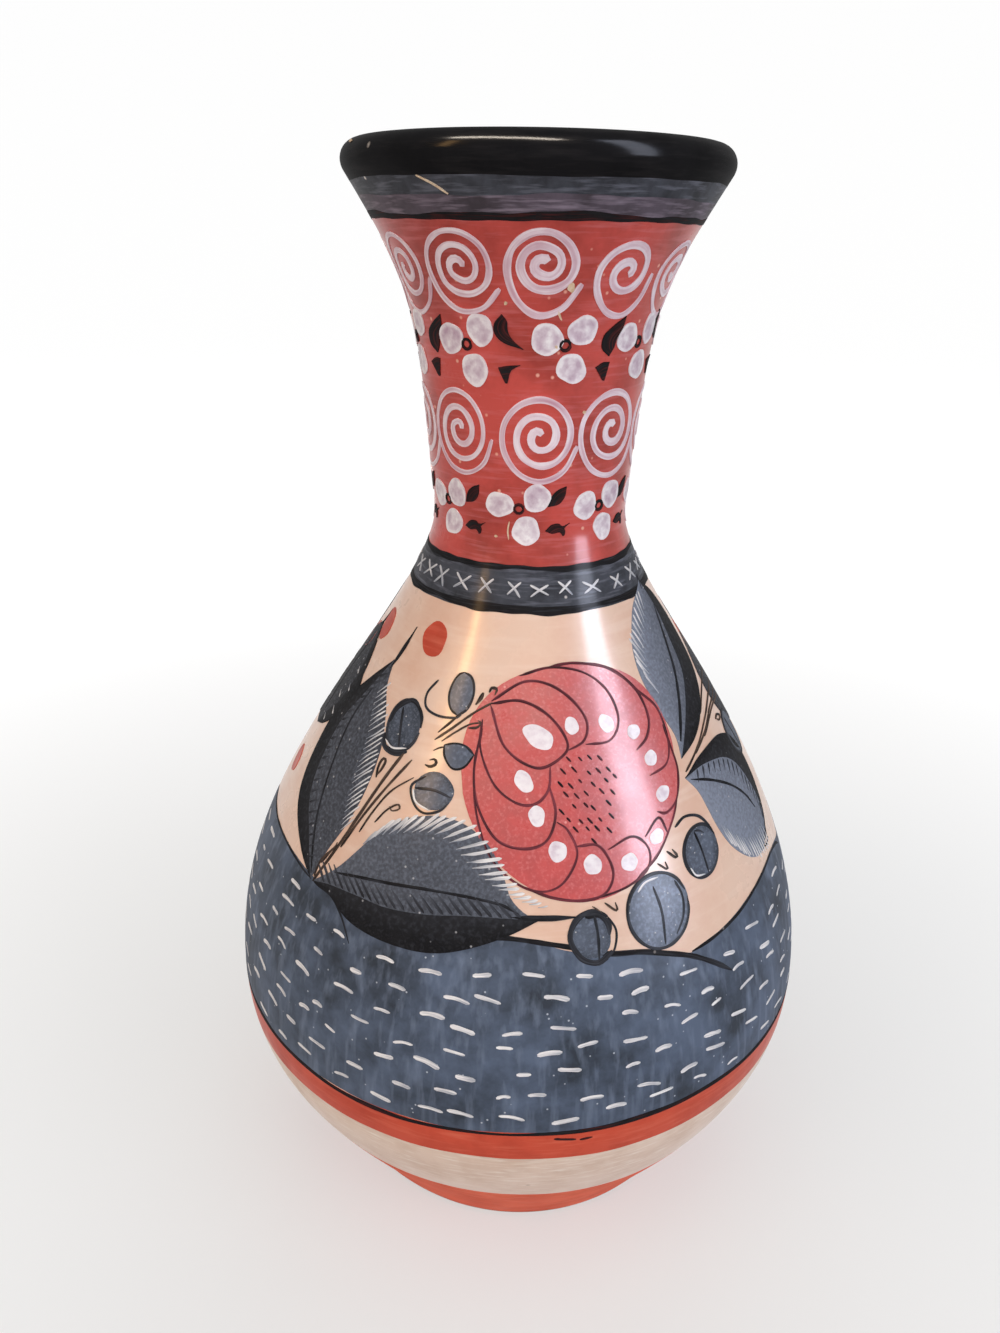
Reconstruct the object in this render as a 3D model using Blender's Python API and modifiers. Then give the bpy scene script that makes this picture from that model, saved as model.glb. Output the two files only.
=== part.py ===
# Hand-built pottery vase: a flat base, two pressed bowls, a coiled neck and a rolled lip,
# luted together with half-lap joints and backed inside by coils pressed over the seams.
# Metres, +Z up, origin at the middle of the underside.
import math

import bpy

# Outside of the vase
FOOT_RADIUS = 0.0595            # edge of the underside
FOOT_ANGLE = math.radians(61)   # lean of the wall from level where it leaves the foot
FOOT_SWEEP = 0.0300             # how far the wall keeps that lean
BELLY_RADIUS = 0.0896           # widest radius
BELLY_HEIGHT = 0.0652           # widest level above the table
BELLY_SWEEP_BELOW = 0.0220      # upright stretch below the widest level
BELLY_SWEEP_ABOVE = 0.0654      # upright stretch above it
WAIST_RADIUS = 0.0266           # where neck meets shoulder
WAIST_ANGLE = math.radians(85)  # lean of the wall from level there
SHOULDER_HEIGHT = 0.1463        # from the widest level to the waist
WAIST_SWEEP_BELOW = 0.0264      # how far the wall keeps that lean below the waist
WAIST_SWEEP_ABOVE = 0.0498      # and above it
NECK_HEIGHT = 0.0769            # from the waist to the lip
MOUTH_RADIUS = 0.0450           # top of the neck, under the lip
MOUTH_ANGLE = math.radians(59)  # lean of the flare from level at the top of the neck
MOUTH_SWEEP = 0.0280            # how far the flare keeps that lean
NECK_SET_OVER = 0.0022          # neck sits this far off the belly's axis, towards +X

# Walls and edges
BOWL_WALL = 0.0070
NECK_WALL = 0.0060
BASE_THICKNESS = 0.0090
FOOT_ROUNDING = 0.0020          # worn edge of the underside
LIP_RADIUS = 0.0044             # half the thickness of the rolled lip
LIP_REACH = 0.0057              # straight stretch between neck and roll

# Joints
SLIP_GAP = 0.0003               # slip between two clay faces
SEAM_LAP = 0.0060               # height of a half-lap
LIP_SKIRT = 0.0060              # lip pressed down over the inside of the neck
SKIRT_EDGE = 0.0012             # thickness of the skirt's lower edge
BAND_WIDTH = 0.0160             # coil pressed over a seam
BAND_RISE = 0.0030              # how proud of the wall it stays
CORNER_LEG = 0.0080             # coil in the corner of the base

# Facets
SEGMENTS = 48
LOWER_STEPS = 9
SHOULDER_STEPS = 14
NECK_STEPS = 9
ROUND_STEPS = 10
BAND_STEPS = 4

WAIST_HEIGHT = BELLY_HEIGHT + SHOULDER_HEIGHT
MOUTH_HEIGHT = WAIST_HEIGHT + NECK_HEIGHT


def clear_scene():
    for old in list(bpy.data.objects):
        bpy.data.objects.remove(old, do_unlink=True)


def swept_curve(start, start_angle, start_sweep, end, end_angle, end_sweep):
    """Cubic that leaves start and reaches end at the given angles from level, going up."""
    lead = (start[0] + start_sweep * math.cos(start_angle),
            start[1] + start_sweep * math.sin(start_angle))
    tail = (end[0] - end_sweep * math.cos(end_angle),
            end[1] - end_sweep * math.sin(end_angle))
    return start, lead, tail, end


def curve_point(curve, share):
    a, b, c, d = curve
    rest = 1 - share
    return tuple(rest ** 3 * a[i] + 3 * rest * rest * share * b[i]
                 + 3 * rest * share * share * c[i] + share ** 3 * d[i] for i in (0, 1))


def curve_slope(curve, share):
    a, b, c, d = curve
    rest = 1 - share
    return tuple(3 * rest * rest * (b[i] - a[i]) + 6 * rest * share * (c[i] - b[i])
                 + 3 * share * share * (d[i] - c[i]) for i in (0, 1))


UPRIGHT = math.radians(90)
FOOT = (FOOT_RADIUS, 0.0)
BELLY = (BELLY_RADIUS, BELLY_HEIGHT)
WAIST = (WAIST_RADIUS, WAIST_HEIGHT)
MOUTH = (MOUTH_RADIUS, MOUTH_HEIGHT)
LOWER_CURVE = swept_curve(FOOT, FOOT_ANGLE, FOOT_SWEEP, BELLY, UPRIGHT, BELLY_SWEEP_BELOW)
SHOULDER_CURVE = swept_curve(BELLY, UPRIGHT, BELLY_SWEEP_ABOVE, WAIST, WAIST_ANGLE, WAIST_SWEEP_BELOW)
NECK_CURVE = swept_curve(WAIST, WAIST_ANGLE, WAIST_SWEEP_ABOVE, MOUTH, MOUTH_ANGLE, MOUTH_SWEEP)


def outside(height):
    """Outer point at a height, and the unit normal that points out of the clay there."""
    if height <= BELLY_HEIGHT:
        curve = LOWER_CURVE
    elif height <= WAIST_HEIGHT:
        curve = SHOULDER_CURVE
    else:
        curve = NECK_CURVE
    low, high = 0.0, 1.0
    for _ in range(40):
        middle = (low + high) / 2
        if curve_point(curve, middle)[1] < height:
            low = middle
        else:
            high = middle
    share = (low + high) / 2
    run, rise = curve_slope(curve, share)
    length = math.hypot(run, rise)
    return curve_point(curve, share), (rise / length, -run / length)


def shoulder_share(height):
    """How far the shoulder has turned from belly to neck: 0 at its lower seam, 1 at its upper one."""
    start = BELLY_HEIGHT + SEAM_LAP + BAND_WIDTH
    end = WAIST_HEIGHT - BAND_WIDTH
    share = min(max((height - start) / (end - start), 0.0), 1.0)
    return share * share * (3 - 2 * share)


def thickness(height):
    return BOWL_WALL + (NECK_WALL - BOWL_WALL) * shoulder_share(height)


def wall(height, depth):
    """Point in the wall, depth inside the outer point at that height."""
    (radius, level), (out, up) = outside(height)
    return radius - depth * out, level - depth * up


def lining(height, gap=0.0):
    """Point on the inner face of the wall, or a gap in front of it."""
    return wall(height, thickness(height) + gap)


def heights(start, end, steps):
    return [start + (end - start) * i / steps for i in range(steps + 1)]


def arc(centre, radius, start, end, steps):
    return [(centre[0] + radius * math.cos(t), centre[1] + radius * math.sin(t))
            for t in heights(start, end, steps)]


def lining_height(level, gap=0.0):
    """Height on the outside of the lower bowl whose lining lies at a level."""
    low, high = 0.0, BELLY_HEIGHT
    for _ in range(40):
        middle = (low + high) / 2
        if lining(middle, gap)[1] < level:
            low = middle
        else:
            high = middle
    return (low + high) / 2


def ring_section(bottom, top, steps, lap_below, lap_above):
    """Section of a walled ring: outer side going down, inner side going up.

    A lapped end has an outer half that stops at the joint and an inner half that
    stops a lap higher; the halves of two neighbours stay a slip gap apart."""
    inner_bottom = bottom + SEAM_LAP if lap_below else lining_height(bottom)
    inner_top = top + SEAM_LAP if lap_above else top
    section = [wall(height, 0) for height in heights(top, bottom, steps)]
    if lap_below:
        section += [wall(height, (thickness(height) - SLIP_GAP) / 2) for height in (bottom, inner_bottom)]
    section += [lining(height) for height in heights(inner_bottom, inner_top, steps)]
    if lap_above:
        section += [wall(height, (thickness(height) + SLIP_GAP) / 2) for height in (inner_top, top)]
    return section


def band_section(middle):
    """Coil flattened over a seam: it lies on the lining and its face is a low dome."""
    start = middle - BAND_WIDTH / 2
    end = middle + BAND_WIDTH / 2
    back = [lining(height, SLIP_GAP) for height in heights(end, start, BAND_STEPS)]
    face = []
    for height in heights(start, end, BAND_STEPS):
        dome = math.cos(math.pi * (height - middle) / BAND_WIDTH)
        face.append(lining(height, SLIP_GAP + BAND_RISE * (0.4 + 0.6 * dome)))
    return back + face


def corner_section():
    """Coil pressed into the corner between the base and the lower bowl."""
    floor = BASE_THICKNESS + SLIP_GAP
    corner = lining_height(floor, SLIP_GAP)
    back = [lining(height, SLIP_GAP) for height in heights(corner + CORNER_LEG, corner, 2)]
    toe = (back[-1][0] - CORNER_LEG, floor)
    face = []
    for i in range(1, BAND_STEPS):
        share = i / BAND_STEPS
        hollow = CORNER_LEG / 10 * math.sin(math.pi * share)
        face.append((toe[0] + (back[0][0] - toe[0]) * share + hollow,
                     toe[1] + (back[0][1] - toe[1]) * share - hollow))
    return back + [toe] + face


def lip_section():
    """Roll tangent to the flare outside, with a skirt pressed down inside the neck."""
    (mouth_r, mouth_z), (out, up) = outside(MOUTH_HEIGHT)
    along = (-up, out)
    seat = [(mouth_r - depth * out + SLIP_GAP * along[0], mouth_z - depth * up + SLIP_GAP * along[1])
            for depth in (0, NECK_WALL + SLIP_GAP)]
    tangent = (mouth_r + LIP_REACH * along[0], mouth_z + LIP_REACH * along[1])
    centre = (tangent[0] - LIP_RADIUS * out, tangent[1] - LIP_RADIUS * up)
    skirt_end = MOUTH_HEIGHT - LIP_SKIRT
    skirt = [lining(height, SLIP_GAP) for height in heights(MOUTH_HEIGHT, skirt_end, 2)]
    edge = lining(skirt_end, SLIP_GAP + SKIRT_EDGE)
    to_edge = math.atan2(edge[1] - centre[1], edge[0] - centre[0])
    reach = math.hypot(edge[1] - centre[1], edge[0] - centre[0])
    roll_end = to_edge % (2 * math.pi) - math.acos(LIP_RADIUS / reach)
    roll = arc(centre, LIP_RADIUS, math.atan2(up, out), roll_end, ROUND_STEPS)
    roll.reverse()
    return roll + seat + skirt[1:] + [edge]


def base_section():
    """Disc with a rounded lower edge; its rim carries on the slope of the wall."""
    (foot_r, _), (out, up) = outside(0)
    turn_end = math.atan2(up, out)
    inset = FOOT_ROUNDING * math.tan((turn_end + math.radians(90)) / 2)
    centre = (foot_r - inset, FOOT_ROUNDING)
    rounding = arc(centre, FOOT_ROUNDING, turn_end, math.radians(-90), 3)
    rim = [wall(BASE_THICKNESS, 0), wall((BASE_THICKNESS + FOOT_ROUNDING) / 2, 0)]
    return [(0.0, BASE_THICKNESS)] + rim + rounding + [(0.0, 0.0)]


def clay(name, colour, roughness):
    material = bpy.data.materials.new(name)
    material.use_nodes = True
    shader = material.node_tree.nodes["Principled BSDF"]
    shader.inputs["Base Color"].default_value = (*colour, 1)
    shader.inputs["Roughness"].default_value = roughness
    shader.inputs["Metallic"].default_value = 0
    material.diffuse_color = (*colour, 1)
    return material


def turned(name, section, closed, material):
    """One piece turned about its own Z axis from a section at +X."""
    mesh = bpy.data.meshes.new(name)
    count = len(section)
    edges = [(i, (i + 1) % count) for i in range(count if closed else count - 1)]
    mesh.from_pydata([(r, 0, z) for r, z in section], edges, [])
    piece = bpy.data.objects.new(name, mesh)
    parts.objects.link(piece)
    screw = piece.modifiers.new("Turn", "SCREW")
    screw.axis = "Z"
    screw.steps = SEGMENTS
    screw.render_steps = SEGMENTS
    screw.use_merge_vertices = True
    screw.merge_threshold = 0.00001
    screw.use_smooth_shade = True
    mesh.materials.append(material)
    return piece


def set_over(piece):
    """Ease the top of a piece sideways, so that it meets the neck where that sits."""
    group = piece.vertex_groups.new(name="set_over")
    for vertex in piece.data.vertices:
        group.add([vertex.index], shoulder_share(vertex.co.z), "REPLACE")
    shift = piece.modifiers.new("Set over", "DISPLACE")
    shift.direction = "X"
    shift.vertex_group = group.name
    shift.strength = NECK_SET_OVER
    shift.mid_level = 0


clear_scene()
parts = bpy.data.collections.new("pottery_vase")
bpy.context.scene.collection.children.link(parts)

neck_seat = bpy.data.objects.new("neck_seat", None)
neck_seat.location = (NECK_SET_OVER, 0, 0)
parts.objects.link(neck_seat)

raw_clay = (0.46, 0.22, 0.12)

turned("base_slab", base_section(), False, clay("red slip foot", (0.30, 0.09, 0.05), 0.55))

turned("base_corner_coil", corner_section(), True, clay("corner coil clay", raw_clay, 0.9))

lower_bowl = ring_section(BASE_THICKNESS + SLIP_GAP, BELLY_HEIGHT, LOWER_STEPS, False, True)
turned("lower_bowl", lower_bowl, True, clay("cream slip bowl", (0.62, 0.45, 0.32), 0.4))

belly_band = band_section(BELLY_HEIGHT + SEAM_LAP)
turned("belly_seam_coil", belly_band, True, clay("belly coil clay", raw_clay, 0.9))

shoulder = ring_section(BELLY_HEIGHT + SLIP_GAP, WAIST_HEIGHT, SHOULDER_STEPS, True, True)
set_over(turned("shoulder_bowl", shoulder, True, clay("peach slip shoulder", (0.68, 0.42, 0.28), 0.35)))

neck = ring_section(WAIST_HEIGHT + SLIP_GAP, MOUTH_HEIGHT, NECK_STEPS, True, False)
turned("neck", neck, True, clay("red slip neck", (0.33, 0.08, 0.05), 0.35)).parent = neck_seat

neck_band = band_section(WAIST_HEIGHT + SEAM_LAP)
turned("neck_seam_coil", neck_band, True, clay("neck coil clay", raw_clay, 0.9)).parent = neck_seat

turned("lip_roll", lip_section(), True, clay("black slip lip", (0.02, 0.018, 0.018), 0.2)).parent = neck_seat

bpy.context.view_layer.update()
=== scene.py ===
import math
import random

import bmesh
import bpy
import numpy as np
from mathutils import Matrix


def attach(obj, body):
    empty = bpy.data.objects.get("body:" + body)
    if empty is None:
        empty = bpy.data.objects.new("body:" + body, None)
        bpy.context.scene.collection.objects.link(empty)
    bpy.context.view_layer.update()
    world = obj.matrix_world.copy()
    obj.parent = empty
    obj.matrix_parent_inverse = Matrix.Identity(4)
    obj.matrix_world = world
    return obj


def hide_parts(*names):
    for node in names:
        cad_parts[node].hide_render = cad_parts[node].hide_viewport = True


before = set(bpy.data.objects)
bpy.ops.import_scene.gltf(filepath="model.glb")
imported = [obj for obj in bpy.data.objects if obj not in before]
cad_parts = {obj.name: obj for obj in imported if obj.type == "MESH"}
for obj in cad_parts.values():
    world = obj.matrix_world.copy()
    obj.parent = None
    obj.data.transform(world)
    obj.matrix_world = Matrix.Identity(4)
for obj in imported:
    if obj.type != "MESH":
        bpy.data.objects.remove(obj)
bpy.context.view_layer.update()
mm = 0.001
hand = random.Random(5)  # the unevenness of the hand, the same each run

form = {  # mm and degrees: the outside of the solids
    "foot": (59.5, 0.0), "footLean": 61, "footSweep": 30.0, "footRounding": 2.0, "footTuck": 4,
    "belly": (89.6, 65.2), "bellySweeps": (22.0, 65.4),
    "waist": (26.6, 211.5), "waistLean": 85, "waistSweeps": (26.4, 49.8),
    "mouth": (45.0, 288.4), "mouthLean": 59, "mouthSweep": 28.0,
    "lipReach": 5.7, "lipRadius": 4.4, "lipSkirt": 6.0, "skirtEdge": 1.2, "reachSteps": 6,
    "bowlWall": 7.0, "neckWall": 6.0, "base": 9.0, "lap": 6.0, "gap": 0.3,
    "setOver": 2.2, "easeFrom": 87.2, "easeTo": 195.5,  # the neck sits off the belly's axis
    "rimDip": 0.5, "rimDipFrom": 258.0, "rimDipTo": 290.0,  # the rim is lower on the right
    "wobble": 0.2, "wobbleFrom": 20, "segments": 208,
}


def stray(reach):
    return hand.uniform(-reach, reach)


def ramp(value, start, end):  # eases from 0 to 1
    share = np.clip((value - start) / (end - start), 0, 1)
    return share * share * (3 - 2 * share)


def direction(degrees):
    return np.array([math.cos(math.radians(degrees)), math.sin(math.radians(degrees))])


def sweptCurve(start, startLean, startSweep, end, endLean, endSweep, count=240):
    lead = np.array(start) + startSweep * direction(startLean)
    tail = np.array(end) - endSweep * direction(endLean)
    t = np.linspace(0, 1, count)[:, None]
    return ((1 - t) ** 3 * np.array(start) + 3 * (1 - t) ** 2 * t * lead
            + 3 * (1 - t) * t * t * tail + t ** 3 * np.array(end))


def pathAlong(points):  # mm from the first point
    spans = np.hypot(*np.diff(points, axis=0).T)
    return np.concatenate([[0], np.cumsum(spans)])


def outwardNormals(points):
    run, rise = np.gradient(points, axis=0).T
    length = np.hypot(run, rise)
    return np.stack([rise / length, -run / length], -1)


def arcPoints(centre, radius, start, end, count):
    turn = np.linspace(start, end, count)
    return np.stack([centre[0] + radius * np.cos(turn), centre[1] + radius * np.sin(turn)], -1)


wallLine = np.concatenate([
    sweptCurve(form["foot"], form["footLean"], form["footSweep"],
               form["belly"], 90, form["bellySweeps"][0]),
    sweptCurve(form["belly"], 90, form["bellySweeps"][1],
               form["waist"], form["waistLean"], form["waistSweeps"][0])[1:],
    sweptCurve(form["waist"], form["waistLean"], form["waistSweeps"][1],
               form["mouth"], form["mouthLean"], form["mouthSweep"])[1:]])
wallNormal = outwardNormals(wallLine)
wallPath = pathAlong(wallLine)


def wallPoint(height, depth):  # a point in the wall, depth mm inside its outer face
    pick = [np.interp(height, wallLine[:, 1], column)
            for column in (wallLine[:, 0], wallNormal[:, 0], wallNormal[:, 1])]
    return np.stack([pick[0] - depth * pick[1], height - depth * pick[2]], -1)


def wallThickness(height):
    return form["bowlWall"] + (form["neckWall"] - form["bowlWall"]) * ramp(
        height, form["easeFrom"], form["easeTo"])


def lining(height, gap=0.0):
    return wallPoint(height, wallThickness(height) + gap)


def footLine():  # underside, worn edge
    out, up = wallNormal[0]
    turnEnd = math.atan2(up, out)
    inset = form["footRounding"] * math.tan((turnEnd + math.pi / 2) / 2)
    centre = (form["foot"][0] - inset, form["footRounding"])
    edge = arcPoints(centre, form["footRounding"], -math.pi / 2, turnEnd, 9)
    return np.concatenate([[(centre[0] - form["footTuck"], 0.0)], edge]), inset


def lipLine():  # reach, roll and the inner skirt down to its edge
    mouth, (out, up) = wallLine[-1], wallNormal[-1]
    reachEnd = mouth + form["lipReach"] * np.array([-up, out])
    centre = reachEnd - form["lipRadius"] * np.array([out, up])
    edge = wallPoint(form["mouth"][1] - form["lipSkirt"],
                     form["neckWall"] + form["gap"] + form["skirtEdge"])
    away = edge - centre
    rollEnd = (math.atan2(away[1], away[0]) % (2 * math.pi)
               - math.acos(form["lipRadius"] / math.hypot(*away)))
    roll = arcPoints(centre, form["lipRadius"], math.atan2(up, out), rollEnd, 40)
    share = np.linspace(0, 1, form["reachSteps"] + 2)[1:, None]
    reach = mouth + (reachEnd - mouth) * share[:-1]
    return np.concatenate([reach, roll, roll[-1] + (edge - roll[-1]) * share])


foot, footInset = footLine()
lip = lipLine()
kept = wallPath > footInset
skinLine = np.concatenate([foot, wallLine[kept], lip])
skinPath = pathAlong(skinLine) - pathAlong(foot)[-1] + footInset  # 0 at the corner of the foot
skinNormal = outwardNormals(skinLine)
wobbleWaves = ((3, 31, 1.0, 0.0), (5, -19, 0.6, 1.7))  # waves round the pot, mm of twist, share, phase


def place(radius, height, turn):  # mm, and radians from the front towards +X, to metres
    waves = sum(share * np.sin(count * turn + height / twist + phase)
                for count, twist, share, phase in wobbleWaves)
    radius = radius + form["wobble"] * waves * ramp(radius, 0, form["wobbleFrom"])
    x = radius * np.sin(turn) + form["setOver"] * ramp(height, form["easeFrom"], form["easeTo"])
    dip = form["rimDip"] * ramp(height, form["rimDipFrom"], form["rimDipTo"])
    return np.stack([x, -radius * np.cos(turn), height - dip * np.sin(turn)], -1) * mm


def radiusAt(path):
    return np.interp(path, skinPath, skinLine[:, 0])


def potPoint(angle, path, lift):  # degrees from the front, mm up the skin, mm off the clay
    radius, height, out, up = (np.interp(path, skinPath, column) for column in (
        skinLine[:, 0], skinLine[:, 1], skinNormal[:, 0], skinNormal[:, 1]))
    return place(radius + lift * out, height + lift * up, np.radians(angle))


def toLinear(hexColour):
    channels = [int(hexColour[i:i + 2], 16) / 255 for i in (1, 3, 5)]
    return [c / 12.92 if c <= 0.04045 else ((c + 0.055) / 1.055) ** 2.4 for c in channels] + [1.0]


def addNode(tree, kind, settings, links):
    node = tree.nodes.new("ShaderNode" + kind)
    for key, value in settings.items():
        if isinstance(key, int) or key in node.inputs:
            node.inputs[key].default_value = value
        else:
            setattr(node, key, value)
    for key, source in links.items():
        tree.links.new(source, node.inputs[key])
    return node


def patternScale(size):  # a pattern whose grains are size mm across
    return 1 / (size * mm)


streakWays = {  # how streaks are drawn out: round the pot, up it, along a stroke
    "round": ("Object", (0.1, 0.1, 1.0)),
    "up": ("Object", (1.0, 1.0, 0.1)),
    "brush": ("brush", (0.06, 1.0, 1.0)),
    "blot": ("Object", (1.0, 1.0, 1.0)),
}
polishFacets = {"acrossMm": 22.0, "deepMm": 0.25, "strength": 0.35}  # left by the polishing stone
# what most slips share; each one adds its tones (usual, pooled, rubbed), mm of its patterns and its fleck
# (colour, mm apart, share of places), and says where it differs
plainSlip = {
    "streakWay": "round", "streak": 0.5, "roughness": (0.30, 0.46), "sheen": 0.0, "coat": 0.12,
    "coatRoughness": 0.18, "bumpMm": 0.05,
}


def slipFinish(name, **changes):  # coloured clay slip, brushed on and polished with a stone
    tone = dict(plainSlip, **changes)
    usual, deep, pale = (toLinear(hexColour) for hexColour in tone["tones"])
    fleckColour, fleckMm, flecks = tone["fleck"]
    material = bpy.data.materials.new(name)
    material.use_nodes = True
    tree = material.node_tree
    shader = tree.nodes["Principled BSDF"]
    shader.inputs["IOR"].default_value = 1.5
    shader.inputs["Specular IOR Level"].default_value = tone["sheen"]
    shader.inputs["Coat Weight"].default_value = tone["coat"]
    shader.inputs["Coat Roughness"].default_value = tone["coatRoughness"]
    spot = addNode(tree, "TexCoord", {}, {}).outputs["Object"]
    cloud = addNode(tree, "TexNoise", {"Scale": patternScale(tone["cloudMm"]), "Detail": 5.0,
                                       "Roughness": 0.62}, {"Vector": spot}).outputs[0]
    source, stretch = streakWays[tone["streakWay"]]
    if source == "brush":
        spread = addNode(tree, "Attribute", {"attribute_name": "brush"}, {}).outputs["Vector"]
    else:
        spread = spot
    spread = addNode(tree, "Mapping", {"Scale": stretch}, {"Vector": spread}).outputs[0]
    streak = addNode(tree, "TexNoise", {"Scale": patternScale(tone["streakMm"]), "Detail": 3.0},
                     {"Vector": spread}).outputs[0]
    pooled = addNode(tree, "MapRange", {"From Min": 0.40, "From Max": 0.66}, {"Value": cloud}).outputs[0]
    rubbed = addNode(tree, "MapRange", {"From Min": 0.50, "From Max": 0.78, "To Max": tone["streak"]},
                     {"Value": streak}).outputs[0]
    colour = addNode(tree, "Mix", {"data_type": "RGBA", 6: usual, 7: deep}, {0: pooled}).outputs[2]
    colour = addNode(tree, "Mix", {"data_type": "RGBA", 7: pale}, {0: rubbed, 6: colour}).outputs[2]
    if "under" in tone:  # thin paint lets the coat below show through
        load = addNode(tree, "Attribute", {"attribute_name": "load"}, {}).outputs["Fac"]
        grain = addNode(tree, "MapRange", {"From Min": 0.3, "From Max": 0.7, "To Min": -tone["dry"],
                                           "To Max": tone["dry"]}, {"Value": streak}).outputs[0]
        body = addNode(tree, "Math", {"operation": "ADD", "use_clamp": True}, {0: load, 1: grain}).outputs[0]
        colour = addNode(tree, "Mix", {"data_type": "RGBA", 6: toLinear(tone["under"])},
                         {0: body, 7: colour}).outputs[2]
    cell = addNode(tree, "TexVoronoi", {"Scale": patternScale(fleckMm)}, {"Vector": spot})
    dot = addNode(tree, "MapRange", {"From Min": 0.08, "From Max": 0.17, "To Min": 1.0, "To Max": 0.0},
                  {"Value": cell.outputs["Distance"]}).outputs[0]
    chosen = addNode(tree, "Math", {"operation": "LESS_THAN", 1: flecks},
                     {0: cell.outputs["Color"]}).outputs[0]
    fleck = addNode(tree, "Math", {"operation": "MULTIPLY"}, {0: dot, 1: chosen}).outputs[0]
    colour = addNode(tree, "Mix", {"data_type": "RGBA", 7: toLinear(fleckColour)},
                     {0: fleck, 6: colour}).outputs[2]
    gloss = addNode(tree, "MapRange", {"From Min": 0.35, "From Max": 0.7, "To Min": tone["roughness"][0],
                                       "To Max": tone["roughness"][1]}, {"Value": cloud}).outputs[0]
    slow = addNode(tree, "TexNoise", {"Scale": patternScale(polishFacets["acrossMm"]), "Detail": 1.0},
                   {"Vector": spot}).outputs[0]
    facets = addNode(tree, "Bump", {"Strength": polishFacets["strength"],
                                    "Distance": polishFacets["deepMm"] * mm}, {"Height": slow}).outputs[0]
    skin = addNode(tree, "Bump", {"Strength": 0.3, "Distance": tone["bumpMm"] * mm},
                   {"Height": streak, "Normal": facets}).outputs[0]
    tree.links.new(colour, shader.inputs["Base Color"])
    tree.links.new(gloss, shader.inputs["Roughness"])
    tree.links.new(skin, shader.inputs["Normal"])
    return material


sharpDegrees = 42  # edges steeper than this stay crisp


def makePiece(name, points, faces, material, slotName, strokeData=None):
    mesh = bpy.data.meshes.new(name)
    mesh.from_pydata(points.tolist(), [], faces)
    if strokeData is not None:
        for label, kind, values in strokeData:
            layer = mesh.attributes.new(label, kind, "POINT")
            layer.data.foreach_set("vector" if kind == "FLOAT_VECTOR" else "value", values.ravel())
    mesh.polygons.foreach_set("use_smooth", [True] * len(mesh.polygons))
    mesh.set_sharp_from_angle(angle=math.radians(sharpDegrees))
    mesh.materials.append(material)
    mesh.update()
    piece = bpy.data.objects.new(name, mesh)
    bpy.context.scene.collection.objects.link(piece)
    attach(piece, "root")
    return piece


def turnPiece(name, sectionAt, closed, material, slotName, node):
    turns = np.arange(form["segments"]) * 2 * math.pi / form["segments"]
    rings = np.array([place(section[:, 0], section[:, 1], turn)
                      for turn in turns for section in [sectionAt(turn)]])
    count = rings.shape[1]
    faces = []
    for i in range(len(turns)):
        after = (i + 1) % len(turns)
        for j in range(count if closed else count - 1):
            up = (j + 1) % count
            faces.append((i * count + j, i * count + up, after * count + up, after * count + j))
    piece = makePiece(name, rings.reshape(-1, 3), faces, material, slotName)
    shape = bmesh.new()
    shape.from_mesh(piece.data)
    bmesh.ops.remove_doubles(shape, verts=shape.verts, dist=1e-7)
    bmesh.ops.recalc_face_normals(shape, faces=shape.faces)
    shape.to_mesh(piece.data)
    shape.free()
    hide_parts(node)
    return piece


# Earthenware, coil-built and wiped with a wet hand: matt, sandy, with wiping lines round the pot
earthenware = slipFinish(
    "wiped raw earthenware", tones=("#B06A45", "#96553A", "#C98A63"), cloudMm=11, streakMm=1.4,
    streak=0.55, fleck=("#E2C3A0", 2.6, 0.4), roughness=(0.78, 0.95), sheen=0.1, coat=0.0,
    coatRoughness=0.4, bumpMm=0.35)


def steps(start, end, size=2.0):
    return np.linspace(start, end, max(2, math.ceil(abs(end - start) / size) + 1))


def liningLevel(height, gap=0.0):  # the level of the wall whose lining lies at this height
    levels = steps(0, form["belly"][1], 0.2)
    return np.interp(height, lining(levels, gap)[:, 1], levels)


def ringSection(bottom, top, lapBelow, lapAbove):
    lap, gap = form["lap"], form["gap"]
    innerBottom = bottom + lap if lapBelow else liningLevel(bottom)
    innerTop = top + lap if lapAbove else top
    lines = [wallPoint(steps(top, bottom), 0)]
    if lapBelow:
        ends = np.array([bottom, innerBottom])
        lines.append(wallPoint(ends, (wallThickness(ends) - gap) / 2))
    lines.append(lining(steps(innerBottom, innerTop)))
    if lapAbove:
        ends = np.array([innerTop, top])
        lines.append(wallPoint(ends, (wallThickness(ends) + gap) / 2))
    return np.concatenate(lines)


def baseSection():
    rim = wallPoint(steps(form["base"], form["footRounding"] + 1, 1.5), 0)
    return np.concatenate([[(0, form["base"])], rim, foot[:0:-1], [(0, 0)]])


def lipSection():
    out, up = wallNormal[-1]
    along = np.array([-up, out]) * form["gap"]
    seat = [wallLine[-1] - depth * np.array([out, up]) + along
            for depth in (0, form["neckWall"] + form["gap"])]
    skirtTop, skirtEnd = form["mouth"][1], form["mouth"][1] - form["lipSkirt"]
    return np.concatenate([lip[form["reachSteps"]:][::-1], seat,
                           lining(steps(skirtTop, skirtEnd), form["gap"])[1:]])


pressedCoil = {"width": 16.0, "rise": 3.0, "cornerLeg": 8.0, "fingerMm": 13.0, "fingerDepth": 0.55}


def fingerMarks(turn, radius):  # dents of the fingers that pressed the coil
    count = round(2 * math.pi * radius / pressedCoil["fingerMm"])
    return pressedCoil["fingerDepth"] * abs(math.sin(count * turn / 2)) ** 0.7


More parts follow.
